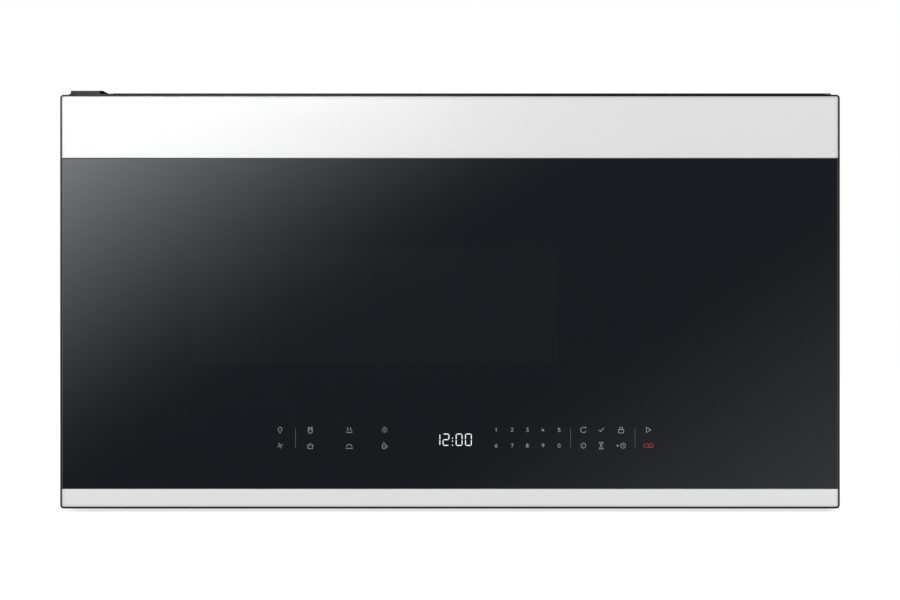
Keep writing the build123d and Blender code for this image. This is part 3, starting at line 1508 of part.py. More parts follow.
def choke_panel():
    """The pressed door panel: the screen in its pan, the land, the slotted choke and the plate."""
    rear, floor = y_choke_rear, y_choke_floor
    groove = choke_groove_start
    edge = frame_wall + seam_gap
    panel = slab_y(door_left + edge, door_right - edge, door_bottom + edge, door_top - edge,
                   floor, floor + sheet, frame_corner_radius - frame_wall)
    panel -= cavity_outline(groove - sheet, floor, floor + sheet)
    for low, high in ((door_bottom, notch_top + bush_length), (door_top - bush_length, door_top)):
        panel -= block(door_left, boss_right + seam_gap, floor, floor + sheet, low - seam_gap,
                       high + seam_gap)
    margin = pull_wall + seam_gap
    panel -= block(door_right - pull_depth_x - margin, door_right, floor, floor + sheet,
                   pull_low - margin, pull_high + margin)
    for x, z in door_screw_places:
        panel -= rod_y(x, z, floor, floor + sheet, screw_hole_radius)
    panel += choke_ring(groove, groove - sheet, floor, rear)
    panel += choke_ring(groove, -choke_land, rear - sheet, rear)
    panel += choke_ring(-choke_land + sheet, -choke_land, y_pan - sheet, rear)
    panel += cavity_outline(sheet - choke_land, y_pan - sheet, y_pan)
    comb = choke_ring(choke_reach, choke_reach - sheet, floor, rear)
    comb += choke_ring(choke_reach, choke_reach - choke_lip, rear - sheet, rear)
    slot_front = rear - choke_slot_depth
    left, right = cavity_left - choke_reach, cavity_right + choke_reach
    low, high = cavity_floor - choke_reach, cavity_top + choke_reach
    count_x = int((right - left - 3 * choke_slot_pitch) // choke_slot_pitch)
    count_z = int((high - low - 3 * choke_slot_pitch) // choke_slot_pitch)
    half = choke_slot_width / 2
    slots = [block(cavity_centre_x + x - half, cavity_centre_x + x + half, slot_front, rear, z0, z1)
             for x in spread(count_x, choke_slot_pitch * (count_x - 1))
             for z0, z1 in ((low, low + choke_lip), (high - choke_lip, high))]
    slots += [block(x0, x1, slot_front, rear, cavity_middle + z - half, cavity_middle + z + half)
              for z in spread(count_z, choke_slot_pitch * (count_z - 1))
              for x0, x1 in ((left, left + choke_lip), (right - choke_lip, right))]
    panel += comb - slots
    panel -= slab_y(cavity_centre_x - window_width / 2, cavity_centre_x + window_width / 2,
                    window_middle - window_height / 2, window_middle + window_height / 2,
                    y_pan - sheet, y_pan - sheet + screen_emboss, 3)
    return panel


def choke_cover():
    """The moulded ring that closes the choke groove, with a snap rib that reaches into it."""
    rear = y_choke_rear
    ring = choke_ring(choke_reach + seam_gap, choke_groove_start - sheet, rear, y_door_back)
    rib = choke_groove_start + seam_gap
    return ring + choke_ring(rib + choke_cover_rib_wall, rib, rear - choke_cover_rib, rear)


def inner_pane():
    """The clear pane in the choke panel's pan, on the oven side of the screen."""
    return cavity_outline(-choke_land - pane_gap, y_pan, y_pan + pane_thickness)


def back_cover():
    """The moulded back of the door, with the finger pull, screw wells and latch guides."""
    x0 = door_left + frame_return + seam_gap
    x1 = door_right - frame_wall - seam_gap
    z0, z1 = door_bottom + frame_wall + seam_gap, door_top - frame_wall - seam_gap
    y0 = y_door_back - back_cover_thickness
    cover = slab_y(x0, x1, z0, z1, y0, y_door_back, frame_corner_radius - frame_wall)
    right = boss_right + hinge_notch_gap
    cover -= block(x0, right, y0, y_door_back, z0, notch_top + bush_length + seam_gap)
    cover -= block(x0, right, y0, y_door_back, door_top - bush_length - seam_gap, z1)
    cover -= cavity_outline(choke_reach + 2 * seam_gap, y0, y_door_back)
    wall = pull_wall - seam_gap
    cover += block(door_right - pull_depth_x - wall, door_right, y_pull - wall, y_door_back,
                   pull_low - wall, pull_high + wall)
    pull = block(door_right - pull_depth_x, door_right, y_pull, y_door_back, pull_low, pull_high)
    deep = pull.edges().filter_by(Axis.Z).sort_by(Axis.Y)[:2].sort_by(Axis.X)[0]
    cover -= fillet(deep, pull_radius)
    half = latch_slot_width / 2
    for z in latch_heights:
        low, high = latch_slot_reach(z)
        cover -= block(latch_x - half, latch_x + half, y0, y_door_back, low, high)
    for side in (-1, 1):
        near = latch_x + side * (latch_thickness / 2 + latch_guide_gap)
        far = near + side * latch_guide_wall
        left, right = min(near, far), max(near, far)
        rib = block(left, right, latch_stem_front, y0, latch_heights[0], latch_heights[-1])
        for z in latch_heights:
            rib -= block(left, right, latch_stem_back, y0, z - latch_prong_height,
                         z + latch_prong_height)
        cover += rib
    top = latch_bottom - spring_length
    cover += block(latch_x - spring_post_radius, latch_x + spring_post_radius,
                   spring_y - spring_post_radius, y0, top - 2 * spring_post_radius, top)
    bore = screw_head_radius + screw_well_gap
    for x, z in door_screw_places:
        cover += rod_y(x, z, y_choke_floor + sheet, y_door_back, bore + screw_well_wall)
        cover -= rod_y(x, z, screw_seat, y_door_back, bore)
        cover -= rod_y(x, z, y_choke_floor + sheet, screw_seat, screw_hole_radius)
    return cover


latch_stem_back = y_door_back - back_cover_thickness - latch_stem_gap
latch_stem_front = y_choke_floor + sheet + latch_guide_gap
latch_bottom = latch_heights[0] - latch_tail
spring_y = (latch_stem_back + latch_stem_front) / 2


def latch_key():
    """The latch key: a stem with two hooks and a middle prong that reach into the case."""
    x0, x1 = latch_x - latch_thickness / 2, latch_x + latch_thickness / 2
    top = latch_heights[-1] + latch_prong_height
    key = block(x0, x1, latch_stem_front, latch_stem_back, latch_bottom, top)
    tip = y_case + latch_reach
    half = latch_prong_height / 2
    for k, z in enumerate(latch_heights):
        outline = [(latch_stem_back - 1, z - half), (tip, z - half), (tip, z + half / 2),
                   (tip - half / 2, z + half), (latch_stem_back - 1, z + half)]
        key += profile_x(outline, x0, x1)
        if k != 1:
            barb = [(tip - latch_barb_length, z - half), (tip, z - half),
                    (tip - latch_barb_length / 3, z - half - latch_barb_drop),
                    (tip - latch_barb_length, z - half - latch_barb_drop)]
            key += profile_x(barb, x0, x1)
    return key


def latch_spring():
    """The coil spring that draws the latch key down, between its post and the key's tail."""
    length = spring_length - 2 * spring_wire_radius
    pitch = length / spring_turns
    centre = (latch_x, spring_y, latch_bottom - spring_length + spring_wire_radius)
    path = Helix(pitch, length, spring_radius, center=centre)
    start = Plane(origin=path @ 0, z_dir=path % 0)
    return sweep(start * RegularPolygon(spring_wire_radius, spring_wire_sides), path=path)


def hinge_bushes():
    """The two nylon bushes in the door's hinge bosses."""
    bore = pin_radius + pin_running_gap
    top = rod_z(pivot_x, pivot_y, door_top - bush_length, door_top, bush_radius)
    top -= rod_z(pivot_x, pivot_y, door_top - bush_length, door_top, bore)
    low0, low1 = notch_top, notch_top + bush_length
    low = rod_z(pivot_x, pivot_y, low0, low1, bush_radius)
    low += rod_z(pivot_x, pivot_y, low0 - bush_flange_thickness, low0, bush_flange_radius)
    low -= rod_z(pivot_x, pivot_y, low0 - bush_flange_thickness, low1, bore)
    return group([top, low])


def touch_board():
    """The touch sensing board behind the keys, with an opening for the display."""
    x0, x1 = touch_centre_x - touch_width / 2, touch_centre_x + touch_width / 2
    z0, z1 = touch_centre_z - touch_height / 2, touch_centre_z + touch_height / 2
    board = slab_y(x0, x1, z0, z1, y_glass_back, y_glass_back + touch_thickness, 2)
    gap = display_gap
    board -= slab_y(display_centre_x - display_width / 2 - gap,
                    display_centre_x + display_width / 2 + gap,
                    touch_centre_z - display_height / 2 - gap,
                    touch_centre_z + display_height / 2 + gap, y_glass_back,
                    y_glass_back + touch_thickness, display_corner_radius)
    return board


def display_module():
    """The clock display, against the back of the window glass."""
    return slab_y(display_centre_x - display_width / 2, display_centre_x + display_width / 2,
                  touch_centre_z - display_height / 2, touch_centre_z + display_height / 2,
                  y_glass_back, y_glass_back + display_depth, display_corner_radius)


def door_screws():
    """The screws at the bottom of the back cover's wells, which hold it to the frame."""
    turned = Rot(X=-90) * screw(door_screw_length)
    return group([Pos(x, screw_seat, z) * turned for x, z in door_screw_places])


# ---------------------------------------------------------------------------------------------
# All the sub-parts, by name
# ---------------------------------------------------------------------------------------------

builders = {
    "top_panel": top_panel,
    "side_panels": side_panels,
    "exhaust_cover": exhaust_cover,
    "back_panel": back_panel,
    "base_panel": base_panel,
    "front_plate": front_plate,
    "vent_grille": vent_grille,
    "charcoal_filter": charcoal_filter,
    "mounting_nuts": mounting_nuts,
    "cord_grommet": cord_grommet,
    "case_screws": case_screws,
    "cavity_box": cavity_box,
    "turntable_motor": turntable_motor,
    "turntable_shaft": turntable_shaft,
    "turntable_coupler": turntable_coupler,
    "glass_tray": glass_tray,
    "roller_ring": roller_ring,
    "waveguide": waveguide,
    "waveguide_cover": waveguide_cover,
    "magnetron_yoke": magnetron_yoke,
    "magnetron_anode": magnetron_anode,
    "component_shelf": component_shelf,
    "transformer_core": transformer_core,
    "transformer_coils": transformer_coils,
    "capacitor": capacitor,
    "power_board": power_board,
    "cavity_lamp": cavity_lamp,
    "cooling_fan_shroud": cooling_fan_shroud,
    "cooling_fan_motor": cooling_fan_motor,
    "cooling_fan_blade": cooling_fan_blade,
    "blower_housing": blower_housing,
    "blower_motor": blower_motor,
    "blower_rotor": blower_rotor,
    "cooktop_lamp_lenses": cooktop_lamp_lenses,
    "cooktop_lamp_modules": cooktop_lamp_modules,
    "upper_hinge": upper_hinge,
    "lower_hinge": lower_hinge,
    "hinge_cover": hinge_cover,
    "latch_board": latch_board,
    "interlock_switches": interlock_switches,
    "switch_buttons": switch_buttons,
    "door_frame": door_frame,
    "upper_glass": upper_glass,
    "window_glass": window_glass,
    "lower_glass": lower_glass,
    "choke_panel": choke_panel,
    "choke_cover": choke_cover,
    "inner_pane": inner_pane,
    "back_cover": back_cover,
    "latch_key": latch_key,
    "latch_spring": latch_spring,
    "hinge_bushes": hinge_bushes,
    "touch_board": touch_board,
    "display_module": display_module,
    "door_screws": door_screws,
}

nodes = {name: build() for name, build in builders.items()}
nodes["grease_filter_left"] = grease_filter(-1)
nodes["grease_filter_right"] = grease_filter(1)
for number in range(roller_count):
    nodes[f"roller_{number + 1}"] = roller(number)

os.makedirs("parts", exist_ok=True)
for name, shape in nodes.items():
    export_step(shape, f"parts/{name}.step")
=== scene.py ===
"""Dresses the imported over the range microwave: finishes, fine pieces, studio light and camera.

Every length is in metres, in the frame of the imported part: +X to the right seen from the
front, +Y towards the wall, +Z up, with the underside at zero.
"""

import logging
import math
from dataclasses import dataclass, field
from enum import Enum
from typing import ClassVar, Dict, Iterable, List, Optional, Sequence, Tuple

import bmesh
import bpy
from mathutils import Matrix, Vector


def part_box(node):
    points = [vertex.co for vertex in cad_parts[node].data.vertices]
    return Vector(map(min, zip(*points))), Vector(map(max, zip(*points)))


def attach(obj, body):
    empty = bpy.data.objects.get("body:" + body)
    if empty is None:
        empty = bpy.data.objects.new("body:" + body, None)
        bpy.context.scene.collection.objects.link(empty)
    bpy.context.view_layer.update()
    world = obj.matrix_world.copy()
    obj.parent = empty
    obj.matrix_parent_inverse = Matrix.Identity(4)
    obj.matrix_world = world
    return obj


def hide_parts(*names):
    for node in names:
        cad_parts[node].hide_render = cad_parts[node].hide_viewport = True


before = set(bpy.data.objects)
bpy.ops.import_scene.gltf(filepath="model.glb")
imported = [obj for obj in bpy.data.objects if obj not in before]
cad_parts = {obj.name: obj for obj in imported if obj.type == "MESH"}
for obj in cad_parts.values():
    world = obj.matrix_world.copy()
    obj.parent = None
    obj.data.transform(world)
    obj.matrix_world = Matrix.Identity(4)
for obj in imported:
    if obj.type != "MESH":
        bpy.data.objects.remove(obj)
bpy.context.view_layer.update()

LOG = logging.getLogger("microwave_scene")

Colour = Tuple[float, float, float]
Triple = Tuple[float, float, float]
Point = Tuple[float, float]
Span = Tuple[float, float]
Socket = bpy.types.NodeSocket

MM = 0.001


# ---------------------------------------------------------------------------------------------
# Shader graphs
# ---------------------------------------------------------------------------------------------

class Kind(Enum):
    """The kinds of pattern: a texture's type and output, and an option that it needs."""

    NOISE = ("Noise", "Fac")
    CELLS = ("Voronoi", "Distance")
    CELL_EDGES = ("Voronoi", "Distance", "feature", "DISTANCE_TO_EDGE")
    CELL_TINTS = ("Voronoi", "Color")
    LAYERS_IN_Y = ("Wave", "Fac", "bands_direction", "Y")
    LAYERS_IN_Z = ("Wave", "Fac", "bands_direction", "Z")
    TILES = ("Brick", "Fac")


@dataclass(frozen=True)
class Pattern:
    """A pattern over the part, from 0 to 1.

    Attributes:
        kind: Its kind.
        size: The size of one blotch or cell, in metres.
        settings: Names of the texture's sockets, and their values.
        stretch: How each axis is scaled, where a factor below one makes it longer.
        ramp: Two values of the texture, and what they become.
    """

    kind: Kind
    size: float
    settings: Tuple[Tuple[str, float], ...] = ()
    stretch: Optional[Triple] = None
    ramp: Optional[Tuple[float, float, float, float]] = None


def noise(size: float, detail: float = 2.0, stretch: Optional[Triple] = None) -> Pattern:
    """Gives soft noise, with a number of finer layers."""
    return Pattern(Kind.NOISE, size, (("Detail", detail),), stretch)


def layers(kind: Kind, pitch: float, bend: float = 0.4) -> Pattern:
    """Gives slightly bent layers, with the distance from one to the next."""
    wave_scale = 20.0
    return Pattern(kind, wave_scale * pitch / math.tau, (("Distortion", bend),))


class Sum(Enum):
    """The sums that a shader graph works out."""

    ADD = "ADD"
    SUBTRACT = "SUBTRACT"
    MULTIPLY = "MULTIPLY"
    DIVIDE = "DIVIDE"
    MULTIPLY_ADD = "MULTIPLY_ADD"
    POWER = "POWER"
    ROOT = "SQRT"
    ZIGZAG = "PINGPONG"
    MAXIMUM = "MAXIMUM"


class ShaderGraph:
    """The node tree of a material or the world, with short calls for the nodes in use."""

    def __init__(self, owner: bpy.types.ID) -> None:
        """Starts a node tree.

        Args:
            owner: The new material or world that it belongs to.
        """
        owner.use_nodes = True
        self.owner = owner
        self.nodes = owner.node_tree.nodes
        self.links = owner.node_tree.links
        is_world = isinstance(owner, bpy.types.World)
        self.shader = self.nodes["Background" if is_world else "Principled BSDF"]
        self.patterns: Dict[Pattern, Socket] = {}

    def set(self, **sockets: float) -> None:
        """Sets constant values on the shader's own sockets.

        Args:
            **sockets: Socket names with underscores for spaces, and their values.
        """
        for name, value in sockets.items():
            self.shader.inputs[name.replace("_", " ")].default_value = value

    def set_colour(self, socket: str, colour: Colour) -> None:
        """Sets one colour socket of the shader."""
        self.shader.inputs[socket].default_value = (*colour, 1.0)

    def drive(self, socket: str, source: Socket) -> None:
        """Links a varying value to one of the shader's sockets."""
        self.links.new(source, self.shader.inputs[socket])

    def place(self) -> Socket:
        """Gives the point's place in the part's own frame."""
        return self.nodes.new("ShaderNodeTexCoord").outputs["Object"]

    def axes(self) -> Tuple[Socket, Socket, Socket]:
        """Gives the point's place, axis by axis.

        Returns:
            The X, Y and Z of the place.
        """
        split = self.nodes.new("ShaderNodeSeparateXYZ")
        self.links.new(self.place(), split.inputs["Vector"])
        return split.outputs["X"], split.outputs["Y"], split.outputs["Z"]

    def pattern(self, pattern: Pattern) -> Socket:
        """Gives a pattern's value, and adds its texture the first time.

        Args:
            pattern: The pattern.

        Returns:
            A value from 0 to 1.
        """
        if pattern not in self.patterns:
            kind, output, *option = pattern.kind.value
            node = self.nodes.new(f"ShaderNodeTex{kind}")
            if option:
                setattr(node, *option)
            for name, value in (("Scale", 1.0 / pattern.size), *pattern.settings):
                node.inputs[name].default_value = value
            place = self.place()
            if pattern.stretch:
                mapping = self.nodes.new("ShaderNodeMapping")
                mapping.inputs["Scale"].default_value = pattern.stretch
                self.links.new(place, mapping.inputs["Vector"])
                place = mapping.outputs["Vector"]
            self.links.new(place, node.inputs["Vector"])
            value = node.outputs[output]
            if output == "Color":
                split = self.nodes.new("ShaderNodeSeparateColor")
                self.links.new(value, split.inputs["Color"])
                value = split.outputs["Red"]
            self.patterns[pattern] = self.ramp(value, *pattern.ramp) if pattern.ramp else value
        return self.patterns[pattern]

    def calc(self, operation: Sum, *terms: object) -> Socket:
        """Works out one sum.

        Args:
            operation: The kind of sum.
            *terms: Sockets or numbers.

        Returns:
            The result.
        """
        node = self.nodes.new("ShaderNodeMath")
        node.operation = operation.value
        for socket, term in zip(node.inputs, terms):
            if isinstance(term, Socket):
                self.links.new(term, socket)
            else:
                socket.default_value = term
        return node.outputs["Value"]

    def ramp(self, value: Socket, low: float, high: float, start: float, end: float) -> Socket:
        """Maps a value from one range to another, and stops at its ends.

        Args:
            value: The value to map.
            low: The value that gives start.
            high: The value that gives end.
            start: The result at low.
            end: The result at high.

        Returns:
            The mapped value.
        """
        node = self.nodes.new("ShaderNodeMapRange")
        for name, number in (("From Min", low), ("From Max", high), ("To Min", start),
                             ("To Max", end)):
            node.inputs[name].default_value = number
        self.links.new(value, node.inputs["Value"])
        return node.outputs["Result"]

    def tint(self, share: Socket, first: object, second: object) -> Socket:
        """Mixes two colours.

        Args:
            share: How much of the second colour there is.
            first: A colour or a socket.
            second: A colour or a socket.

        Returns:
            The mixed colour.
        """
        node = self.nodes.new("ShaderNodeMix")
        node.data_type = "RGBA"
        self.links.new(share, node.inputs["Factor"])
        sockets = [socket for socket in node.inputs if socket.type == "RGBA"]
        for socket, value in zip(sockets, (first, second)):
            if isinstance(value, Socket):
                self.links.new(value, socket)
            else:
                socket.default_value = (*value, 1.0)
        return next(socket for socket in node.outputs if socket.type == "RGBA")

    def relief(self, height: Socket, depth: float) -> None:
        """Adds a bump to the surface.

        Args:
            height: The height, from 0 to 1.
            depth: The real depth of the relief, in metres.
        """
        node = self.nodes.new("ShaderNodeBump")
        node.inputs["Distance"].default_value = depth
        self.links.new(height, node.inputs["Height"])
        self.drive("Normal", node.outputs["Normal"])

    def inside(self, value: Socket, low: float, high: float, soft: float) -> Socket:
        """Gives 1 where a value lies between two limits, with soft ends.

        Args:
            value: The value to test.
            low: The lower limit.
            high: The upper limit.
            soft: The width of each soft end.

        Returns:
            A value from 0 to 1.
        """
        rise = self.ramp(value, low, low + soft, 0.0, 1.0)
        fall = self.ramp(value, high - soft, high, 1.0, 0.0)
        return self.calc(Sum.MULTIPLY, rise, fall)

    def window(self, across: Socket, up: Socket, low: Point, high: Point, soft: float) -> Socket:
        """Gives 1 inside a rectangle of two axes, with soft edges.

        Args:
            across: The first axis.
            up: The second axis.
            low: The rectangle's lowest corner.
            high: The rectangle's highest corner.
            soft: The width of the soft edges.

        Returns:
            A value from 0 to 1.
        """
        return self.calc(Sum.MULTIPLY, self.inside(across, low[0], high[0], soft),
                         self.inside(up, low[1], high[1], soft))

    def seen_directly(self) -> Socket:
        """Gives 1 for rays that show the surface itself, in a mirror or through glass too.

        Returns:
            A value of 0 or 1.
        """
        path = self.nodes.new("ShaderNodeLightPath").outputs
        total = path["Is Camera Ray"]
        for name in ("Is Glossy Ray", "Is Transmission Ray"):
            total = self.calc(Sum.MAXIMUM, total, path[name])
        return total

    def dots(self, across: Socket, up: Socket, pitch: float, radius: float,
             soft: float = 0.06) -> Socket:
        """Gives 1 inside the dots of a square grid.

        Args:
            across: The first axis.
            up: The second axis.
            pitch: The distance between dots.
            radius: A dot's radius, as a share of the pitch.
            soft: Half of the width of its soft edge, as a share of the pitch.

        Returns:
            A value from 0 to 1.
        """
        squares = []
        for axis in (across, up):
            share = self.calc(Sum.DIVIDE, self.calc(Sum.ZIGZAG, axis, pitch / 2), pitch)
            squares.append(self.calc(Sum.POWER, share, 2.0))
        reach = self.calc(Sum.ROOT, self.calc(Sum.ADD, *squares))
        return self.ramp(reach, radius - soft, radius + soft, 1.0, 0.0)


# ---------------------------------------------------------------------------------------------
# Kinds of finish
# ---------------------------------------------------------------------------------------------

def shade(colour: Colour, factor: float) -> Colour:
    """Gives a darker or lighter shade of a colour."""
    return tuple(min(1.0, part * factor) for part in colour)


@dataclass(frozen=True)
class Finish:
    """What every finish has: a colour, a gloss and a relief that follow patterns.

    Attributes:
        name: The material's name.
        colour: The base colour, linear.
        roughness: How dull the surface is.
        mirror: How strongly it mirrors head on, where a half is plain plastic or paint.
        metal: How metallic it is.
        clear: How much of the light goes through.
        index: The index of refraction.
        coat: The share and the roughness of a clear coat.
        shades: The shades that the colour drifts between, as factors.
        second: The colour that it drifts to instead of the second shade.
        dulling: How far the roughness falls and rises.
        reach: Where in its pattern the roughness starts and ends its rise.
        grain: The pattern that the colour, gloss and relief follow if they have none below.
        tones: The pattern of the colour.
        gloss: The pattern of the roughness.
        relief: The pattern of the relief.
        depth: The depth of the relief.
        made: The materials made so far, by name.
    """

    name: str
    colour: Colour
    roughness: float
    mirror: float = 0.5
    metal: float = 0.0
    clear: float = 0.0
    index: float = 1.5
    coat: Tuple[float, float] = (0.0, 0.03)
    shades: Span = (0.9, 1.1)
    second: Optional[Colour] = None
    dulling: Span = (-0.08, 0.08)
    reach: Span = (0.3, 0.7)
    grain: Optional[Pattern] = None
    tones: Optional[Pattern] = None
    gloss: Optional[Pattern] = None
    relief: Optional[Pattern] = None
    depth: float = 0.01 * MM
    made: ClassVar[Dict[str, bpy.types.Material]] = {}

    def base(self, graph: ShaderGraph) -> Socket:
        """Gives the colour, drifting from its first shade to its second with its pattern.

        Args:
            graph: The material's graph.

        Returns:
            The colour.
        """
        first, second = (shade(self.colour, factor) for factor in self.shades)
        return graph.tint(graph.pattern(self.tones or self.grain), first, self.second or second)

    def dull(self, graph: ShaderGraph) -> None:
        """Lets the roughness rise with its pattern.

        Args:
            graph: The material's graph.
        """
        low, high = (self.roughness + change for change in self.dulling)
        pattern = graph.pattern(self.gloss or self.grain)
        graph.drive("Roughness", graph.ramp(pattern, *self.reach, low, high))

    def paint(self, graph: ShaderGraph) -> None:
        """Lets the colour, the gloss and the relief follow their patterns.

        Args:
            graph: The material's graph.
        """
        if self.tones or self.grain:
            graph.drive("Base Color", self.base(graph))
        if self.gloss or self.grain:
            self.dull(graph)
        if self.relief or self.grain:
            graph.relief(graph.pattern(self.relief or self.grain), self.depth)

    def material(self) -> bpy.types.Material:
        """Gives the finish's material, and makes it the first time.

        Returns:
            The material.
        """
        if self.name not in self.made:
            graph = ShaderGraph(bpy.data.materials.new(self.name))
            graph.set_colour("Base Color", self.colour)
            graph.set(Roughness=self.roughness, Specular_IOR_Level=self.mirror,
                      Metallic=self.metal, Transmission_Weight=self.clear, IOR=self.index,
                      Coat_Weight=self.coat[0], Coat_Roughness=self.coat[1])
            self.paint(graph)
            self.made[self.name] = graph.owner
        return self.made[self.name]


@dataclass(frozen=True)
class PowderCoat(Finish):
    """Baked paint on sheet steel, with rubbed patches and a faint orange peel."""

    shades: Span = (0.95, 1.05)
    dulling: Span = (-0.012, 0.012)
    tones: Optional[Pattern] = noise(90 * MM)
    gloss: Optional[Pattern] = noise(60 * MM)
    relief: Optional[Pattern] = noise(1.1 * MM, 1.0)
    depth: float = 0.02 * MM


@dataclass(frozen=True)
class MouldedPlastic(Finish):
    """Moulded plastic with a spark-eroded grain, and the drift that its flow leaves."""

    dulling: Span = (-0.04, 0.05)
    tones: Optional[Pattern] = noise(60 * MM)
    grain: Optional[Pattern] = noise(0.7 * MM)
    depth: float = 0.03 * MM


@dataclass(frozen=True)
class CoverPlastic(MouldedPlastic):
    """Moulded plastic of a cover, with painted shadow: small windows where the colour is darkened
    and the gloss taken away, standing in for the shade that falls there.

    Attributes:
        shadow_windows: The lowest and highest corners of the painted shadows, across and up.
        soft: The width of their soft edges.
        shadow_shade: The shade of the painted shadow, as a factor.
    """

    shades: Span = (0.95, 1.05)
    tones: Optional[Pattern] = noise(0.7 * MM)
    shadow_windows: Tuple[Tuple[Point, Point], ...] = ()
    soft: float = 0.9 * MM
    shadow_shade: float = 0.05

    def base(self, graph: ShaderGraph) -> Socket:
        """Gives the plastic's colour, with painted shadow that darkens the shadow windows and
        takes away their gloss.

        Args:
            graph: The material's graph.

        Returns:
            The colour.
        """
        x, _, z = graph.axes()
        # Painted shadow: 1 inside the shadow windows, where the colour turns to the shadow shade
        # and the mirror to nothing.
        dark = graph.calc(Sum.MAXIMUM, *(graph.window(x, z, low, high, self.soft)
                                         for low, high in self.shadow_windows))
        graph.drive("Specular IOR Level", graph.ramp(dark, 0.0, 1.0, self.mirror, 0.0))
        return graph.tint(dark, super().base(graph), shade(self.colour, self.shadow_shade))


@dataclass(frozen=True)
class ZincSheet(Finish):
    """Galvanised or zinc plated sheet: a spangle of crystals over a fine rolling grain."""

    metal: float = 0.85
    shades: Span = (0.84, 1.08)
    dulling: Span = (-0.07, 0.08)
    reach: Span = (0.0, 1.0)
    grain: Optional[Pattern] = Pattern(Kind.CELL_TINTS, 5 * MM)
    relief: Optional[Pattern] = noise(1.0 * MM, stretch=(0.05, 1.0, 1.0))
    depth: float = 0.008 * MM


@dataclass(frozen=True)
class OvenEnamel(Finish):
    """Oven enamel: glossy, with fine light specks and slight waves."""

    coat: Tuple[float, float] = (0.4, 0.12)
    shades: Span = (1.0, 1.0)
    second: Optional[Colour] = (0.5, 0.5, 0.5)
    tones: Optional[Pattern] = Pattern(Kind.CELLS, 3.2 * MM, ramp=(0.10, 0.17, 1.0, 0.0))
    relief: Optional[Pattern] = noise(14 * MM)
    depth: float = 0.04 * MM


@dataclass(frozen=True)
class BackPaintedGlass(Finish):
    """Clear glass painted on its back, whose edges turn to another colour: partly the tone that
    grinding leaves, partly painted light and shade of the rounded edge.

    Attributes:
        low: The plate's lowest corner across and up.
        high: The plate's highest corner across and up.
        edge: The colour that the edge turns to, partly the tone that grinding leaves and partly
            painted light and shade.
        edge_width: How far in the edge colour shows.
        edge_fade: How steeply the edge colour fades inwards.
        line: The colour of the thin line where the paint stops short of the edge.
        line_inset: How far in that line is.
        line_width: The width of that line.
        line_soft: The width of that line's soft sides.
        open_low: Whether the lower edge meets the next pane and stays plain.
        open_high: Whether the upper edge meets the next pane and stays plain.
    """

    dulling: Span = (0.0, 0.03)
    reach: Span = (0.35, 0.75)
    shades: Span = (0.985, 1.0)
    tones: Optional[Pattern] = noise(120 * MM)
    gloss: Optional[Pattern] = noise(35 * MM, 5.0)
    low: Point = (0.0, 0.0)
    high: Point = (1.0, 1.0)
    edge: Colour = (0.5, 0.5, 0.5)
    edge_width: float = 2.6 * MM
    edge_fade: float = 1.6
    line: Colour = (0.5, 0.5, 0.5)
    line_inset: float = 2.3 * MM
    line_width: float = 0.5 * MM
    line_soft: float = 0.2 * MM
    open_low: bool = False
    open_high: bool = False

    def within(self, graph: ShaderGraph, inset: float, soft: float) -> Socket:
        """Gives 1 inside the plate's free edges and 0 at them.

        Args:
            graph: The material's graph.
            inset: How far inside the edges it starts to rise.
            soft: How far in it reaches 1 from there.

        Returns:
            A value from 0 to 1.
        """
        x, _, z = graph.axes()
        beyond = 1.0
        low = self.low[1] + inset - beyond * self.open_low
        high = self.high[1] - inset + beyond * self.open_high
        return graph.window(x, z, (self.low[0] + inset, low), (self.high[0] - inset, high), soft)

    def base(self, graph: ShaderGraph) -> Socket:
        """Gives the colour of the paint with its edge colour, part the tone of grinding and part
        painted light and shade, and the thin line inside it.

        Args:
            graph: The material's graph.

        Returns:
            The colour.
        """
        # Painted light and shade along the free edges, partly the tone that grinding leaves.
        away = graph.calc(Sum.SUBTRACT, 1.0, self.within(graph, 0.0, self.edge_width))
        edge_tone_and_light = graph.calc(Sum.POWER, away, self.edge_fade)
        stripe = graph.calc(Sum.SUBTRACT, *(
            self.within(graph, inset, self.line_soft)
            for inset in (self.line_inset, self.line_inset + self.line_width)))
        paint = super().base(graph)
        return graph.tint(stripe, graph.tint(edge_tone_and_light, paint, self.edge), self.line)


@dataclass(frozen=True)
class WindowGlass(BackPaintedGlass):
    """Black printed glass with the oven's screen showing faintly through its dot print.

    Attributes:
        screen_low: The screen's lowest corner across and up.
        screen_high: The screen's highest corner across and up.
        screen: The colour of the screen behind the print.
        screen_soft: How softly the screen ends.
        dot_pitch: The distance between the print's dots.
        dot_radius: A dot's radius, as a share of the pitch.
        between: How much of the screen shows between the dots.
    """

    screen_low: Point = (0.0, 0.0)
    screen_high: Point = (1.0, 1.0)
    screen: Colour = (0.02, 0.02, 0.02)
    screen_soft: float = 6 * MM
    dot_pitch: float = 1.6 * MM
    dot_radius: float = 0.30
    between: float = 0.55

    def base(self, graph: ShaderGraph) -> Socket:
        """Gives the colour of the print, thinned by dots over the screen.

        Args:
            graph: The material's graph.

        Returns:
            The colour.
        """
        x, _, z = graph.axes()
        screen = graph.window(x, z, self.screen_low, self.screen_high, self.screen_soft)
        dots = graph.dots(x, z, self.dot_pitch, self.dot_radius)
        share = graph.calc(Sum.MULTIPLY, screen, graph.ramp(dots, 0.0, 1.0, self.between, 1.0))
        return graph.tint(share, super().base(graph), self.screen)


@dataclass(frozen=True)
class ClearGlass(Finish):
    """Clear glass with a faint tint and fine wiping marks."""

    clear: float = 1.0
    dulling: Span = (0.0, 0.04)
    reach: Span = (0.4, 0.8)
    gloss: Optional[Pattern] = noise(5 * MM, 4.0, (0.2, 1.0, 1.0))


@dataclass(frozen=True)
class FrostedLens(Finish):
    """Milky lamp glass, frosted by etching."""

    clear: float = 0.3
    index: float = 1.49
    gloss: Optional[Pattern] = noise(0.8 * MM, 3.0)
    relief: Optional[Pattern] = noise(0.8 * MM, 3.0)
    depth: float = 0.02 * MM


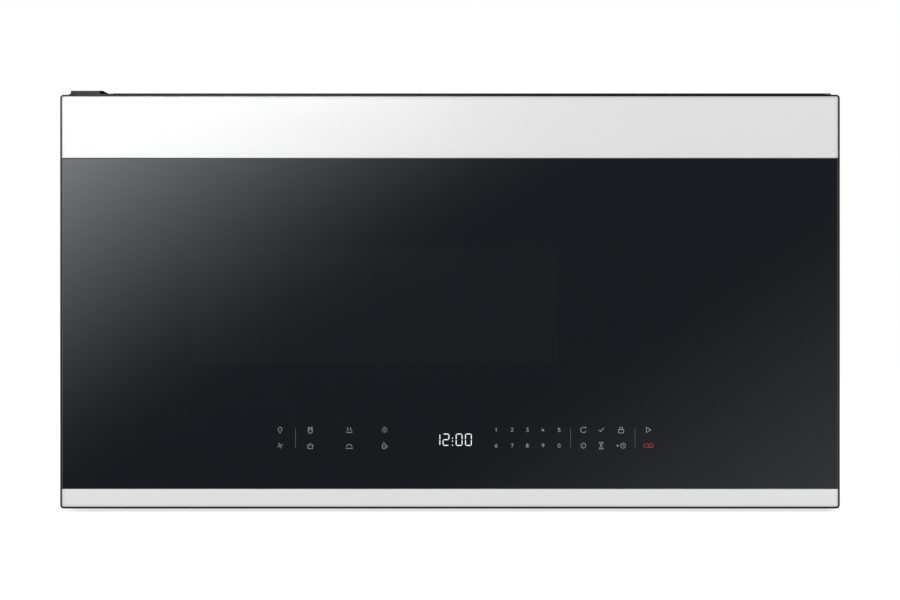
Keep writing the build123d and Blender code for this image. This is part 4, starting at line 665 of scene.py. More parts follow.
@dataclass(frozen=True)
class PerforatedSteel(Finish):
    """Black coated steel with a field of fine round holes for the door's window.

    Attributes:
        low: The field's lowest corner across and up.
        high: The field's highest corner across and up.
        soft: The width of the field's soft edges.
        pitch: The distance between holes.
        hole_radius: A hole's radius, as a share of the pitch.
        hole: The near black painted into a hole: painted shade for the dark oven behind it.
        hole_roughness: How dull a hole looks.
    """

    shades: Span = (0.85, 1.15)
    tones: Optional[Pattern] = noise(50 * MM)
    low: Point = (0.0, 0.0)
    high: Point = (1.0, 1.0)
    soft: float = 1.0 * MM
    pitch: float = 2.0 * MM
    hole_radius: float = 0.32
    hole: Colour = (0.002, 0.002, 0.002)
    hole_roughness: float = 0.95
    depth: float = 0.3 * MM

    def paint(self, graph: ShaderGraph) -> None:
        """Builds the coat and the holes.

        Args:
            graph: The material's graph.
        """
        x, _, z = graph.axes()
        # The holes are painted near black and dull: painted shade for the dark oven behind them.
        holes = graph.calc(Sum.MULTIPLY, graph.window(x, z, self.low, self.high, self.soft),
                           graph.dots(x, z, self.pitch, self.hole_radius))
        graph.drive("Base Color", graph.tint(holes, self.base(graph), self.hole))
        graph.drive("Roughness", graph.ramp(holes, 0.0, 1.0, self.roughness,
                                            self.hole_roughness))
        graph.relief(graph.calc(Sum.SUBTRACT, 1.0, holes), self.depth)


def drawn(stretch: Triple, size: float = 0.8 * MM) -> Pattern:
    """Gives the grain of drawn or rolled metal."""
    return noise(size, 3.0, stretch)


@dataclass(frozen=True)
class BrushedMetal(Finish):
    """Bare metal with a drawn grain."""

    metal: float = 1.0
    shades: Span = (0.88, 1.08)
    dulling: Span = (-0.08, 0.1)
    grain: Optional[Pattern] = drawn((1.0, 1.0, 1.0))


@dataclass(frozen=True)
class FilterMetal(BrushedMetal):
    """Aluminium frame metal, with the mesh between two levels painted darker and its holes near
    black: painted shade of the filter's inner layers.

    Attributes:
        mesh_low: The lowest level of the mesh layers.
        mesh_high: The highest level of the mesh layers.
        weave: The distance between the strands of the mesh.
        hole_radius: A hole's radius, as a share of that distance.
        hole: The near black painted into a hole: painted shade for the dark behind the mesh.
        mesh_shade: The shade of the strands, as a factor: painted shade of the mesh inside the
            frame.
        soft: The width of the soft edges of the layers.
    """

    shades: Span = (0.88, 1.0)
    dulling: Span = (-0.06, 0.12)
    grain: Optional[Pattern] = drawn((0.05, 1.0, 1.0), 0.9 * MM)
    depth: float = 0.3 * MM
    mesh_low: float = 0.0
    mesh_high: float = 1.0
    weave: float = 2.2 * MM
    hole_radius: float = 0.34
    hole: Colour = (0.01, 0.01, 0.01)
    mesh_shade: float = 0.4
    soft: float = 0.02 * MM

    def paint(self, graph: ShaderGraph) -> None:
        """Builds the drawn frame metal and the woven mesh layers.

        Args:
            graph: The material's graph.
        """
        x, y, z = graph.axes()
        woven = graph.inside(z, self.mesh_low, self.mesh_high, self.soft)
        holes = graph.dots(x, y, self.weave, self.hole_radius)
        # Painted shade: the mesh inside the frame is darkened, and its holes are near black.
        mesh = graph.tint(holes, shade(self.colour, self.mesh_shade), self.hole)
        graph.drive("Base Color", graph.tint(woven, self.base(graph), mesh))
        self.dull(graph)
        strands = graph.calc(Sum.MULTIPLY, woven, graph.calc(Sum.SUBTRACT, 1.0, holes))
        graph.relief(strands, self.depth)


@dataclass(frozen=True)
class StackedLayers(Finish):
    """Something wound or stacked: laminations, copper turns or cooling fins."""

    metal: float = 0.6
    shades: Span = (0.55, 1.0)
    gloss: Optional[Pattern] = noise(12 * MM, 3.0)
    depth: float = 0.15 * MM


@dataclass(frozen=True)
class CircuitBoard(Finish):
    """A circuit board: solder mask over tracks, which show in the second colour."""

    shades: Span = (1.0, 1.0)
    second: Optional[Colour] = (0.10, 0.36, 0.20)
    grain: Optional[Pattern] = Pattern(Kind.TILES, 14 * MM, (("Mortar Size", 0.03),))
    gloss: Optional[Pattern] = noise(8 * MM, 3.0)
    depth: float = 0.05 * MM


@dataclass(frozen=True)
class MicaSheet(Finish):
    """Pressed mica: a dull tan sheet with flakes that glint."""

    shades: Span = (0.8, 1.15)
    dulling: Span = (-0.25, 0.1)
    reach: Span = (0.0, 1.0)
    grain: Optional[Pattern] = Pattern(Kind.CELL_TINTS, 2.5 * MM)
    relief: Optional[Pattern] = Pattern(Kind.CELL_EDGES, 2.5 * MM)
    depth: float = 0.03 * MM


@dataclass(frozen=True)
class FoamPad(Finish):
    """Charcoal granules in a bonded pad."""

    shades: Span = (1.7, 0.4)
    dulling: Span = (-0.2, 0.0)
    reach: Span = (0.0, 0.8)
    tones: Optional[Pattern] = Pattern(Kind.CELLS, 3.0 * MM, ramp=(0.1, 0.8, 0.0, 1.0))
    gloss: Optional[Pattern] = Pattern(Kind.CELLS, 3.0 * MM)
    relief: Optional[Pattern] = Pattern(Kind.CELLS, 3.0 * MM, ramp=(0.0, 0.9, 1.0, 0.0))
    depth: float = 0.7 * MM


@dataclass(frozen=True)
class LitPrint(Finish):
    """Print or segments that are lit from behind.

    Attributes:
        shades: The shares of its strength that the glow drifts between.
        reach: Where in its pattern the glow starts and ends its rise.
        tones: The pattern of the glow.
        glow: How strongly it shines.
        unlit: The shade of the print itself, as a factor.
    """

    reach: Span = (0.2, 0.8)
    tones: Optional[Pattern] = noise(6 * MM)
    glow: float = 0.5
    unlit: float = 0.1

    def paint(self, graph: ShaderGraph) -> None:
        """Builds the glow, uneven as light through a print is.

        Args:
            graph: The material's graph.
        """
        graph.set_colour("Base Color", shade(self.colour, self.unlit))
        graph.set_colour("Emission Color", self.colour)
        weak, strong = (self.glow * factor for factor in self.shades)
        graph.drive("Emission Strength", graph.ramp(graph.pattern(self.tones), *self.reach,
                                                    weak, strong))


# ---------------------------------------------------------------------------------------------
# Meshes
# ---------------------------------------------------------------------------------------------

SHARP_ANGLE = 35.0
MITRE_LIMIT = 0.5
TOUCHING = 0.001 * MM


class Facing(Enum):
    """Which way a flat drawing faces, and so what its across, up and out are."""

    FRONT = "front"
    DOWN = "down"

    def point(self, across: float, up: float, out: float) -> Vector:
        """Gives the place of a drawing's point.

        Args:
            across: The distance to the drawing's right.
            up: The distance up the drawing, or towards the wall where it faces down.
            out: The level along the axis that the drawing faces, in the part's own frame.

        Returns:
            The place in the part's own frame.
        """
        if self is Facing.FRONT:
            return Vector((across, out, up))
        return Vector((across, up, out))


def circle(centre: Point, radius: float, steps: int = 16, start: float = 0.0,
           sweep: float = 360.0) -> List[Point]:
    """Gives points round a circle or an arc.

    Args:
        centre: The circle's middle.
        radius: Its radius.
        steps: How many straight runs it has.
        start: The angle of the first point, in degrees.
        sweep: How far round it goes, in degrees.

    Returns:
        The points, without the last one where the circle is whole.
    """
    count = steps if sweep >= 360 else steps + 1
    angles = [math.radians(start + sweep * step / steps) for step in range(count)]
    return [(centre[0] + radius * math.cos(a), centre[1] + radius * math.sin(a)) for a in angles]


class MeshMaker:
    """Builds one mesh out of skins, prisms and strokes."""

    def __init__(self) -> None:
        """Starts an empty mesh."""
        self.mesh = bmesh.new()

    def skin(self, rings: Sequence[Sequence[Vector]], closed: bool = True,
             caps: bool = True, looped: bool = False) -> None:
        """Joins rings of points into a skin.

        Args:
            rings: The rings, each with the same number of points.
            closed: Whether each ring's last point joins its first.
            caps: Whether the first and last rings are filled.
            looped: Whether the last ring joins the first, with no caps.
        """
        rows = [[self.mesh.verts.new(point) for point in ring] for ring in rings]
        count = len(rows[0])
        for row, following in zip(rows, rows[1:] + rows[:looped]):
            for k in range(count if closed else count - 1):
                after = (k + 1) % count
                self.mesh.faces.new((row[k], row[after], following[after], following[k]))
        if caps and not looped:
            self.mesh.faces.new(list(reversed(rows[0])))
            self.mesh.faces.new(rows[-1])

    def prism(self, outline: Sequence[Point], near: float, far: float, facing: Facing) -> None:
        """Draws an outline out into a solid.

        Args:
            outline: The outline's points.
            near: The level of one end.
            far: The level of the other end.
            facing: Which way the outline faces.
        """
        self.skin([[facing.point(across, up, level) for across, up in outline]
                   for level in (near, far)])

    def stroke(self, path: Sequence[Point], width: float, near: float, far: float,
               facing: Facing, closed: bool = False) -> None:
        """Draws a line of even width as a thin solid with mitred corners.

        Args:
            path: The line's points.
            width: The line's width.
            near: The level of its face.
            far: The level of its back.
            facing: Which way the line's face looks.
            closed: Whether the last point joins the first.
        """
        rings = []
        count = len(path)
        for k, here in enumerate(path):
            before = path[(k - 1) % count] if closed or k > 0 else None
            after = path[(k + 1) % count] if closed or k < count - 1 else None
            side = mitre(before, here, after) * (width / 2)
            left = (here[0] + side.x, here[1] + side.y)
            right = (here[0] - side.x, here[1] - side.y)
            rings.append([facing.point(*left, near), facing.point(*right, near),
                          facing.point(*right, far), facing.point(*left, far)])
        self.skin(rings, looped=closed)

    def turned(self, profile: Sequence[Point], steps: int = 24) -> None:
        """Turns a profile about the Z axis into a solid.

        Args:
            profile: Points of radius and height, from the axis to the axis.
            steps: How many faces go round.
        """
        inner = profile[1:-1]
        self.skin([[Vector((*place, height)) for place in circle((0.0, 0.0), radius, steps)]
                   for radius, height in inner], caps=False)
        verts = self.mesh.verts
        verts.ensure_lookup_table()
        first = len(verts) - steps * len(inner)
        for (radius, height), start in ((profile[0], first), (profile[-1], len(verts) - steps)):
            tip = verts.new(Vector((radius, 0.0, height)))
            verts.ensure_lookup_table()
            for k in range(steps):
                self.mesh.faces.new((verts[start + k], verts[start + (k + 1) % steps], tip))

    def take(self, mesh: bpy.types.Mesh, place: Matrix) -> None:
        """Adds a copy of another mesh.

        Args:
            mesh: The mesh to copy.
            place: Where the copy goes.
        """
        first = len(self.mesh.verts)
        self.mesh.from_mesh(mesh)
        self.mesh.verts.ensure_lookup_table()
        bmesh.ops.transform(self.mesh, matrix=place, verts=self.mesh.verts[first:])

    def finished(self, name: str) -> bpy.types.Mesh:
        """Gives the mesh, with its faces turned outwards, and ends the maker's work.

        Args:
            name: The mesh's name.

        Returns:
            The mesh.
        """
        bmesh.ops.recalc_face_normals(self.mesh, faces=self.mesh.faces)
        mesh = bpy.data.meshes.new(name)
        self.mesh.to_mesh(mesh)
        self.mesh.free()
        return mesh


def mitre(before: Optional[Point], here: Point, after: Optional[Point]) -> Vector:
    """Gives the sideways direction of a line at one of its points.

    Args:
        before: The point before, or none at the start.
        here: The point.
        after: The point after, or none at the end.

    Returns:
        A vector across the line, longer where the line turns.
    """
    runs = []
    if before is not None:
        runs.append((Vector(here) - Vector(before)).normalized())
    if after is not None:
        runs.append((Vector(after) - Vector(here)).normalized())
    sides = [Vector((-run.y, run.x)) for run in runs]
    side = sum(sides, Vector((0.0, 0.0))).normalized()
    return side / max(MITRE_LIMIT, side.dot(sides[0]))


def add_piece(name: str, maker: MeshMaker, finish: Finish, body: str,
              stands_for: Optional[str] = None) -> None:
    """Adds a modelled piece to the object.

    Args:
        name: The piece's name.
        maker: The mesh maker that holds its shape.
        finish: Its finish.
        body: The CAD body that it moves with.
        stands_for: The CAD node that it is shown instead of, where it has one. Its faces are
            then turned ones, and shaded smooth.
    """
    mesh = maker.finished(name)
    if stands_for:
        mesh.shade_smooth()
        mesh.set_sharp_from_angle(angle=math.radians(SHARP_ANGLE))
    mesh.materials.append(finish.material())
    piece = bpy.data.objects.new(name, mesh)
    bpy.context.scene.collection.objects.link(piece)
    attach(piece, body)
    if stands_for:
        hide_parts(stands_for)
    LOG.info("%s: %d faces, on %s", name, len(mesh.polygons), body)


def dress(finish: Finish, *nodes: str) -> None:
    """Gives CAD nodes their finish.

    Args:
        finish: The finish.
        *nodes: The names of the nodes.
    """
    for name in nodes:
        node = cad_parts[name]
        if not node.material_slots:
            node.data.materials.append(None)
        for slot in node.material_slots:
            slot.material = finish.material()
        LOG.info("%s: %s", name, finish.name)


def islands(node: str) -> List[List[Vector]]:
    """Gives the points of each separate solid of a CAD node.

    Args:
        node: The node's name.

    Returns:
        One list of points for each solid, sorted by place.
    """
    copy = bmesh.new()
    copy.from_mesh(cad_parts[node].data)
    bmesh.ops.remove_doubles(copy, verts=copy.verts, dist=TOUCHING)
    reached = set()
    found = []
    for first in copy.verts:
        if first in reached:
            continue
        reached.add(first)
        waiting = [first]
        solid = []
        while waiting:
            vert = waiting.pop()
            solid.append(vert.co.copy())
            near = [edge.other_vert(vert) for edge in vert.link_edges]
            fresh = [other for other in near if other not in reached]
            reached.update(fresh)
            waiting += fresh
        found.append(solid)
    copy.free()
    return sorted(found, key=lambda solid: tuple(round(sum(p[k] for p in solid) / len(solid), 5)
                                                 for k in range(3)))


def corners(solid: Sequence[Vector]) -> Tuple[Vector, Vector]:
    """Gives the lowest and highest corners of the box round a solid's points."""
    return (Vector([min(p[k] for p in solid) for k in range(3)]),
            Vector([max(p[k] for p in solid) for k in range(3)]))


# ---------------------------------------------------------------------------------------------
# Studio
# ---------------------------------------------------------------------------------------------

@dataclass(frozen=True)
class Glow:
    """A soft light that fades in a straight line over the card in front of the glass.

    Attributes:
        middle: How bright the card's middle is, as a share that may be below zero.
        across: How much brighter it gets for each metre to the right.
        up: How much brighter it gets for each metre up.
        power: How steeply it rises.
        peak: The strength where the share is one.
    """

    middle: float
    across: float
    up: float
    power: float
    peak: float


@dataclass(frozen=True)
class Lamp:
    """A soft lamp with a flat panel.

    Attributes:
        name: Its name.
        place: Where it hangs.
        size: The width and height of its panel.
        power: Its power, in watts.
        target: The point that it faces.
        spread: How wide its beam is, in degrees.
    """

    name: str
    place: Triple
    size: Point
    power: float
    target: Triple = (0.0, 0.0, 0.2)
    spread: float = 180.0

    def hang(self) -> None:
        """Hangs the lamp."""
        panel = bpy.data.lights.new(self.name, "AREA")
        panel.shape = "RECTANGLE"
        panel.size, panel.size_y = self.size
        panel.energy = self.power
        panel.spread = math.radians(self.spread)
        lamp = bpy.data.objects.new(self.name, panel)
        lamp.location = self.place
        facing = Vector(self.target) - lamp.location
        lamp.rotation_euler = facing.to_track_quat("-Z", "Y").to_euler()
        bpy.context.scene.collection.objects.link(lamp)


@dataclass
class Studio:
    """The floor, the soft lights, the card that the dark glass mirrors, and the camera.

    Attributes:
        eye_distance: How far the camera stands from the glass.
        eye_height: The camera's height.
        lens: The camera's focal length, in millimetres.
        sensor: The width of the camera's sensor, in millimetres.
        card_distance: How far the card stands from the glass.
        card_reach: Half of the card's width and height.
        card_fade: How far in from its edge the card fades out.
        card_tint: The colour of the card's glow.
        floor_reach: Half of the floor's size.
        floor_drop: How far the floor lies below the underside.
        floor_colour: The floor's own colour.
        floor_shade: The shade of its faint patches, as a factor.
        floor_glow: How strongly the floor shines where it is seen.
        floor_grain: The size of the floor's faint patches.
        ambient: The strength of the even light from all round.
        glows: The glows on the card.
        lamps: The lamps.
        glass_y: The level of the glass that the camera looks at.
    """

    eye_distance: float = 3.2
    eye_height: float = 0.2061
    lens: float = 131.5
    sensor: float = 36.0
    card_distance: float = 4.4
    card_reach: Point = (1.75, 1.35)
    card_fade: float = 0.5
    card_tint: Colour = (0.975, 1.0, 1.02)
    floor_reach: float = 14.0
    floor_drop: float = 0.2 * MM
    floor_colour: Colour = (0.5, 0.5, 0.5)
    floor_shade: float = 0.99
    floor_glow: float = 0.74
    floor_grain: float = 0.4
    ambient: float = 0.55
    glows: Tuple[Glow, ...] = (
        Glow(middle=-0.1195, across=-0.808, up=1.2351, power=2.2, peak=4.25),
        Glow(middle=-0.5214, across=0.9825, up=-1.4654, power=1.3, peak=0.6),
    )
    lamps: Tuple[Lamp, ...] = (
        Lamp("key", (-1.9, -2.6, 2.3), (1.8, 1.8), 75.0),
        Lamp("fill", (2.2, -2.4, 1.5), (1.8, 1.8), 32.0),
        Lamp("back", (0.6, 2.6, 2.6), (2.2, 1.6), 30.0),
        Lamp("band", (-0.24, -1.7, 0.55), (0.45, 0.08), 0.07, target=(-0.24, -0.2, 0.40),
             spread=20.0),
    )
    glass_y: float = field(default_factory=lambda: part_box("window_glass")[0].y)

    def build(self) -> None:
        """Builds the whole studio."""
        self.build_camera()
        self.build_world()
        self.build_floor()
        self.build_card()
        for lamp in self.lamps:
            lamp.hang()
        LOG.info("studio: camera, world, floor, card and %d lamps", len(self.lamps))

    def build_camera(self) -> None:
        """Stands the camera square in front of the door."""
        lens = bpy.data.cameras.new("camera")
        lens.lens = self.lens
        lens.sensor_width = self.sensor
        eye = bpy.data.objects.new("camera", lens)
        eye.location = (0.0, self.glass_y - self.eye_distance, self.eye_height)
        eye.rotation_euler = (math.radians(90), 0.0, 0.0)
        bpy.context.scene.collection.objects.link(eye)
        bpy.context.scene.camera = eye
        bpy.context.scene.view_settings.view_transform = "Standard"

    def build_world(self) -> None:
        """Makes a white surround, and an even soft light of its own strength."""
        world = bpy.data.worlds.new("white_surround")
        bpy.context.scene.world = world
        graph = ShaderGraph(world)
        graph.set_colour("Color", (1.0, 1.0, 1.0))
        graph.drive("Strength", graph.ramp(graph.seen_directly(), 0.0, 1.0, self.ambient, 1.0))

    def build_floor(self) -> None:
        """Lays the pale floor, which shows white and keeps the object's shadow."""
        graph = ShaderGraph(bpy.data.materials.new("pale_floor"))
        patches = graph.pattern(noise(self.floor_grain))
        graph.drive("Base Color", graph.tint(patches, shade(self.floor_colour, self.floor_shade),
                                             self.floor_colour))
        graph.set(Roughness=0.9, Specular_IOR_Level=0.0)
        graph.set_colour("Emission Color", (1.0, 1.0, 1.0))
        graph.drive("Emission Strength", graph.calc(Sum.MULTIPLY, graph.seen_directly(),
                                                    self.floor_glow))
        reach = (-self.floor_reach, self.floor_reach)
        floor = self.add_stage("floor", [[Vector((x, y, -self.floor_drop)) for x in reach]
                                         for y in reach], graph.owner)
        floor.visible_glossy = False

    def build_card(self) -> None:
        """Stands the dark card with its soft glows where the glass mirrors it."""
        graph = ShaderGraph(bpy.data.materials.new("dark_card"))
        graph.set_colour("Base Color", (0.0, 0.0, 0.0))
        graph.set(Roughness=1.0, Specular_IOR_Level=0.0)
        graph.set_colour("Emission Color", self.card_tint)
        x, _, z = graph.axes()
        height = graph.calc(Sum.SUBTRACT, z, self.eye_height)
        parts = []
        for glow in self.glows:
            across = graph.calc(Sum.MULTIPLY_ADD, x, glow.across, glow.middle)
            share = graph.calc(Sum.MULTIPLY_ADD, height, glow.up, across)
            rise = graph.calc(Sum.POWER, graph.calc(Sum.MAXIMUM, share, 0.0), glow.power)
            parts.append(graph.calc(Sum.MULTIPLY, rise, glow.peak))
        graph.drive("Emission Strength", graph.calc(Sum.ADD, *parts))
        reach_x, reach_z = self.card_reach
        graph.drive("Alpha", graph.window(x, height, (-reach_x, -reach_z), (reach_x, reach_z),
                                          self.card_fade))
        level = self.glass_y - self.card_distance
        card = self.add_stage("card", [[Vector((x, level, self.eye_height + z))
                                        for x in (-reach_x, reach_x)]
                                       for z in (-reach_z, reach_z)], graph.owner)
        card.visible_camera = False
        card.visible_diffuse = False
        card.visible_shadow = False
        card.visible_transmission = False

    def add_stage(self, name: str, rows: Sequence[Sequence[Vector]],
                  material: bpy.types.Material) -> bpy.types.Object:
        """Adds a flat thing that stands round the object.

        Args:
            name: Its name.
            rows: The rows of points that it is spread over.
            material: Its material.

        Returns:
            The new object.
        """
        maker = MeshMaker()
        maker.skin(rows, closed=False, caps=False)
        mesh = maker.finished(name)
        mesh.materials.append(material)
        thing = bpy.data.objects.new(name, mesh)
        bpy.context.scene.collection.objects.link(thing)
        return thing


# ---------------------------------------------------------------------------------------------
# Finishes of this object
# ---------------------------------------------------------------------------------------------

CASE_PAINT = PowderCoat("baked_case_paint", (0.022, 0.022, 0.023), 0.60, mirror=0.2)
INNER_PAINT = PowderCoat("front_plate_paint", (0.030, 0.031, 0.034), 0.38)
FRAME_COAT = PowderCoat("frame_coat", (0.006, 0.006, 0.007), 0.3, mirror=0.12,
                        relief=noise(0.6 * MM, 1.0), depth=0.006 * MM)
ZINC = ZincSheet("zinc_sheet", (0.42, 0.43, 0.44), 0.42)
DULL_ZINC = ZincSheet("dull_zinc_sheet", (0.20, 0.205, 0.21), 0.58)
BRACKET_ZINC = ZincSheet("bracket_zinc", (0.42, 0.43, 0.44), 0.36,
                         grain=Pattern(Kind.CELL_TINTS, 3 * MM))
ENAMEL = OvenEnamel("oven_enamel", (0.17, 0.17, 0.18), 0.22)
DARK_PLASTIC = MouldedPlastic("moulded_dark_plastic", (0.022, 0.022, 0.024), 0.48)
GRILLE_PLASTIC = MouldedPlastic("grille_plastic", (0.010, 0.010, 0.011), 0.45, mirror=0.12)
CHOKE_CAP = MouldedPlastic("choke_cap_plastic", (0.018, 0.018, 0.02), 0.52)
DISPLAY_CASE = MouldedPlastic("display_case", (0.012, 0.012, 0.013), 0.35)
NYLON = MouldedPlastic("natural_nylon", (0.74, 0.73, 0.67), 0.4)
RUBBER = MouldedPlastic("grommet_rubber", (0.018, 0.018, 0.018), 0.7, grain=noise(0.4 * MM))
CHARCOAL = FoamPad("charcoal_pad", (0.02, 0.02, 0.02), 0.9)
CLEAR_GLASS = ClearGlass("inner_pane_glass", (0.93, 0.96, 0.95), 0.02)
TRAY_GLASS = ClearGlass("tray_glass", (0.90, 0.95, 0.94), 0.04)
LENS = FrostedLens("frosted_lens", (0.93, 0.93, 0.91), 0.35)
SCREW_STEEL = BrushedMetal("bright_screw_steel", (0.62, 0.62, 0.64), 0.3)
SHAFT_STEEL = BrushedMetal("shaft_steel", (0.60, 0.61, 0.62), 0.28,
                           grain=drawn((1.0, 1.0, 0.1)))
STRAND_METAL = BrushedMetal("filter_strand", (0.60, 0.61, 0.62), 0.3)
CAN = BrushedMetal("drawn_can_metal", (0.66, 0.67, 0.68), 0.3,
                   grain=drawn((0.05, 1.0, 1.0)))
FINS = StackedLayers("cooling_fins", (0.76, 0.77, 0.78), 0.32, metal=1.0,
                     grain=layers(Kind.LAYERS_IN_Z, 9 * MM))
LAMINATIONS = StackedLayers("laminations", (0.26, 0.26, 0.28), 0.45,
                            grain=layers(Kind.LAYERS_IN_Y, 1.0 * MM))
COPPER = StackedLayers("enamelled_copper", (0.62, 0.26, 0.12), 0.28, metal=0.9,
                       grain=layers(Kind.LAYERS_IN_Z, 1.2 * MM), depth=0.3 * MM)
BOARD = CircuitBoard("power_board_mask", (0.02, 0.14, 0.07), 0.35)
TOUCH_BOARD = CircuitBoard("touch_board", (0.015, 0.03, 0.05), 0.35, second=(0.02, 0.08, 0.1))
MICA = MicaSheet("mica_sheet", (0.60, 0.53, 0.43), 0.55)
KEY_PRINT = LitPrint("key_print", (0.78, 0.80, 0.84), 0.5, glow=0.6)
DIVIDER_PRINT = LitPrint("divider_print", (0.62, 0.64, 0.68), 0.5, mirror=0.1, glow=0.06)
STOP_PRINT = LitPrint("stop_print", (0.80, 0.03, 0.035), 0.5, glow=0.85)
CLOCK_PRINT = LitPrint("clock_print", (0.95, 0.97, 1.0), 0.4, glow=1.05)


# ---------------------------------------------------------------------------------------------
# Screws
# ---------------------------------------------------------------------------------------------

@dataclass(frozen=True)
class ScrewSet:
    """Pan-head screws with a cross recess, one for each plain screw of a CAD node.

    Attributes:
        name: The new piece's name.
        node: The CAD node that it stands for.
        body: The CAD body that it moves with.
        head_radius: The radius of a head.
        head_height: The height of a head.
        head_profile: The head's outline from its rim to its middle, as shares of the radius
            and the height.
        shank_radius: The radius of the thread's crests.
        root: The radius of the thread's roots, as a share of the crests' radius.
        tip: The size of the tip's chamfer, as a share of the crests' radius.
        thread_start: Where the thread starts above the tip, as a share of the same radius.
        thread_pitch: The height of a root and a crest, before they are pressed together.
        crest_rise: How far a crest is above its root, as a share of that height.
        root_rise: How far a root is above the root before, as a share of that height.
        recess_reach: How far the cross reaches from the middle.
        recess_width: The width of the cross's arms.
        recess_depth: The depth of the cross.
        recess_past: How far its cutter reaches out of the head.
        recess_taper: The size of the cross at its floor and at the head's top, as factors.
        turn: How far each screw is turned from the one before, in radians.
    """

    name: str
    node: str
    body: str
    head_radius: float = 4.0 * MM
    head_height: float = 1.8 * MM
    head_profile: Tuple[Point, ...] = ((1.0, 0.0), (1.0, 0.2), (0.95, 0.5), (0.82, 0.75),
                                       (0.6, 0.92), (0.0, 1.0))
    shank_radius: float = 1.75 * MM
    root: float = 0.86
    tip: float = 0.5
    thread_start: float = 1.4
    thread_pitch: float = 1.3 * MM
    crest_rise: float = 0.35
    root_rise: float = 0.8
    recess_reach: float = 2.2 * MM
    recess_width: float = 0.8 * MM
    recess_depth: float = 1.2 * MM
    recess_past: float = 0.1 * MM
    recess_taper: Span = (0.5, 1.05)
    turn: float = 0.7

    def build(self) -> None:
        """Builds the screws and puts them in place."""
        dress(SCREW_STEEL, self.node)
        maker = MeshMaker()
        for count, solid in enumerate(islands(self.node)):
            place, length = self.seat(solid)
            maker.take(self.screw(length), place @ Matrix.Rotation(self.turn * count, 4, "Z"))
        add_piece(self.name, maker, SCREW_STEEL, self.body, self.node)

    def seat(self, solid: Sequence[Vector]) -> Tuple[Matrix, float]:
        """Finds where a plain screw stands.

        Args:
            solid: The plain screw's points.

        Returns:
            Its place, with Z out of the head and the origin under the head, and the length of
            its shank.
        """
        low, high = corners(solid)
        size = high - low
        axis = max(range(3), key=lambda k: abs(size[k] - sorted(size)[1]))
        middle = (low + high) / 2
        nearly = 0.97
        rim = [p[axis] for p in solid
               if sum((p[k] - middle[k]) ** 2 for k in range(3) if k != axis)
               > (nearly * self.head_radius) ** 2]
        under = sum(rim) / len(rim)
        outward = 1.0 if under > middle[axis] else -1.0
        middle[axis] = under
        direction = Vector([outward if k == axis else 0.0 for k in range(3)])
        turn = direction.to_track_quat("Z", "Y").to_matrix().to_4x4()
        return Matrix.Translation(middle) @ turn, size[axis] - self.head_height

    def screw(self, length: float) -> bpy.types.Mesh:
        """Makes one screw.

        Args:
            length: The length of its shank.

        Returns:
            Its mesh, with the head's underside on the origin's plane.
        """
        name = f"screw_{length:.4f}"
        if name in bpy.data.meshes:
            return bpy.data.meshes[name]
        shank = self.shank_radius
        profile = [(0.0, -length), (self.tip * shank, self.tip * shank - length)]
        level = self.thread_start * shank - length
        while level < -self.thread_pitch:
            profile += [(self.root * shank, level),
                        (shank, level + self.crest_rise * self.thread_pitch)]
            level += self.root_rise * self.thread_pitch
        profile.append((shank, 0.0))
        profile += [(across * self.head_radius, up * self.head_height)
                    for across, up in self.head_profile]
        maker = MeshMaker()
        maker.turned(profile)
        whole = bpy.data.objects.new(name, maker.finished("screw_blank"))
        cutter = bpy.data.objects.new("cross", self.cross())
        for thing in (whole, cutter):
            bpy.context.scene.collection.objects.link(thing)
        cut = whole.modifiers.new("recess", "BOOLEAN")
        cut.object = cutter
        cut.solver = "EXACT"
        made = whole.evaluated_get(bpy.context.evaluated_depsgraph_get())
        mesh = bpy.data.meshes.new_from_object(made)
        mesh.name = name
        for thing in (whole, cutter):
            bpy.data.objects.remove(thing)
        return mesh

    def cross(self) -> bpy.types.Mesh:
        """Makes the tapered cross that is cut out of the head.

        Returns:
            Its mesh.
        """
        near, far = self.recess_width / 2, self.recess_reach
        outline = []
        for quarter in range(4):
            turn = Matrix.Rotation(math.radians(90 * quarter), 2)
            outline += [turn @ Vector(p) for p in ((far, -near), (far, near), (near, near))]
        levels = (self.head_height - self.recess_depth, self.head_height + self.recess_past)
        maker = MeshMaker()
        maker.skin([[Vector((p.x * scale, p.y * scale, level)) for p in outline]
                    for scale, level in zip(self.recess_taper, levels)])
        return maker.finished("cross")


# ---------------------------------------------------------------------------------------------
# Sub-assemblies
# ---------------------------------------------------------------------------------------------

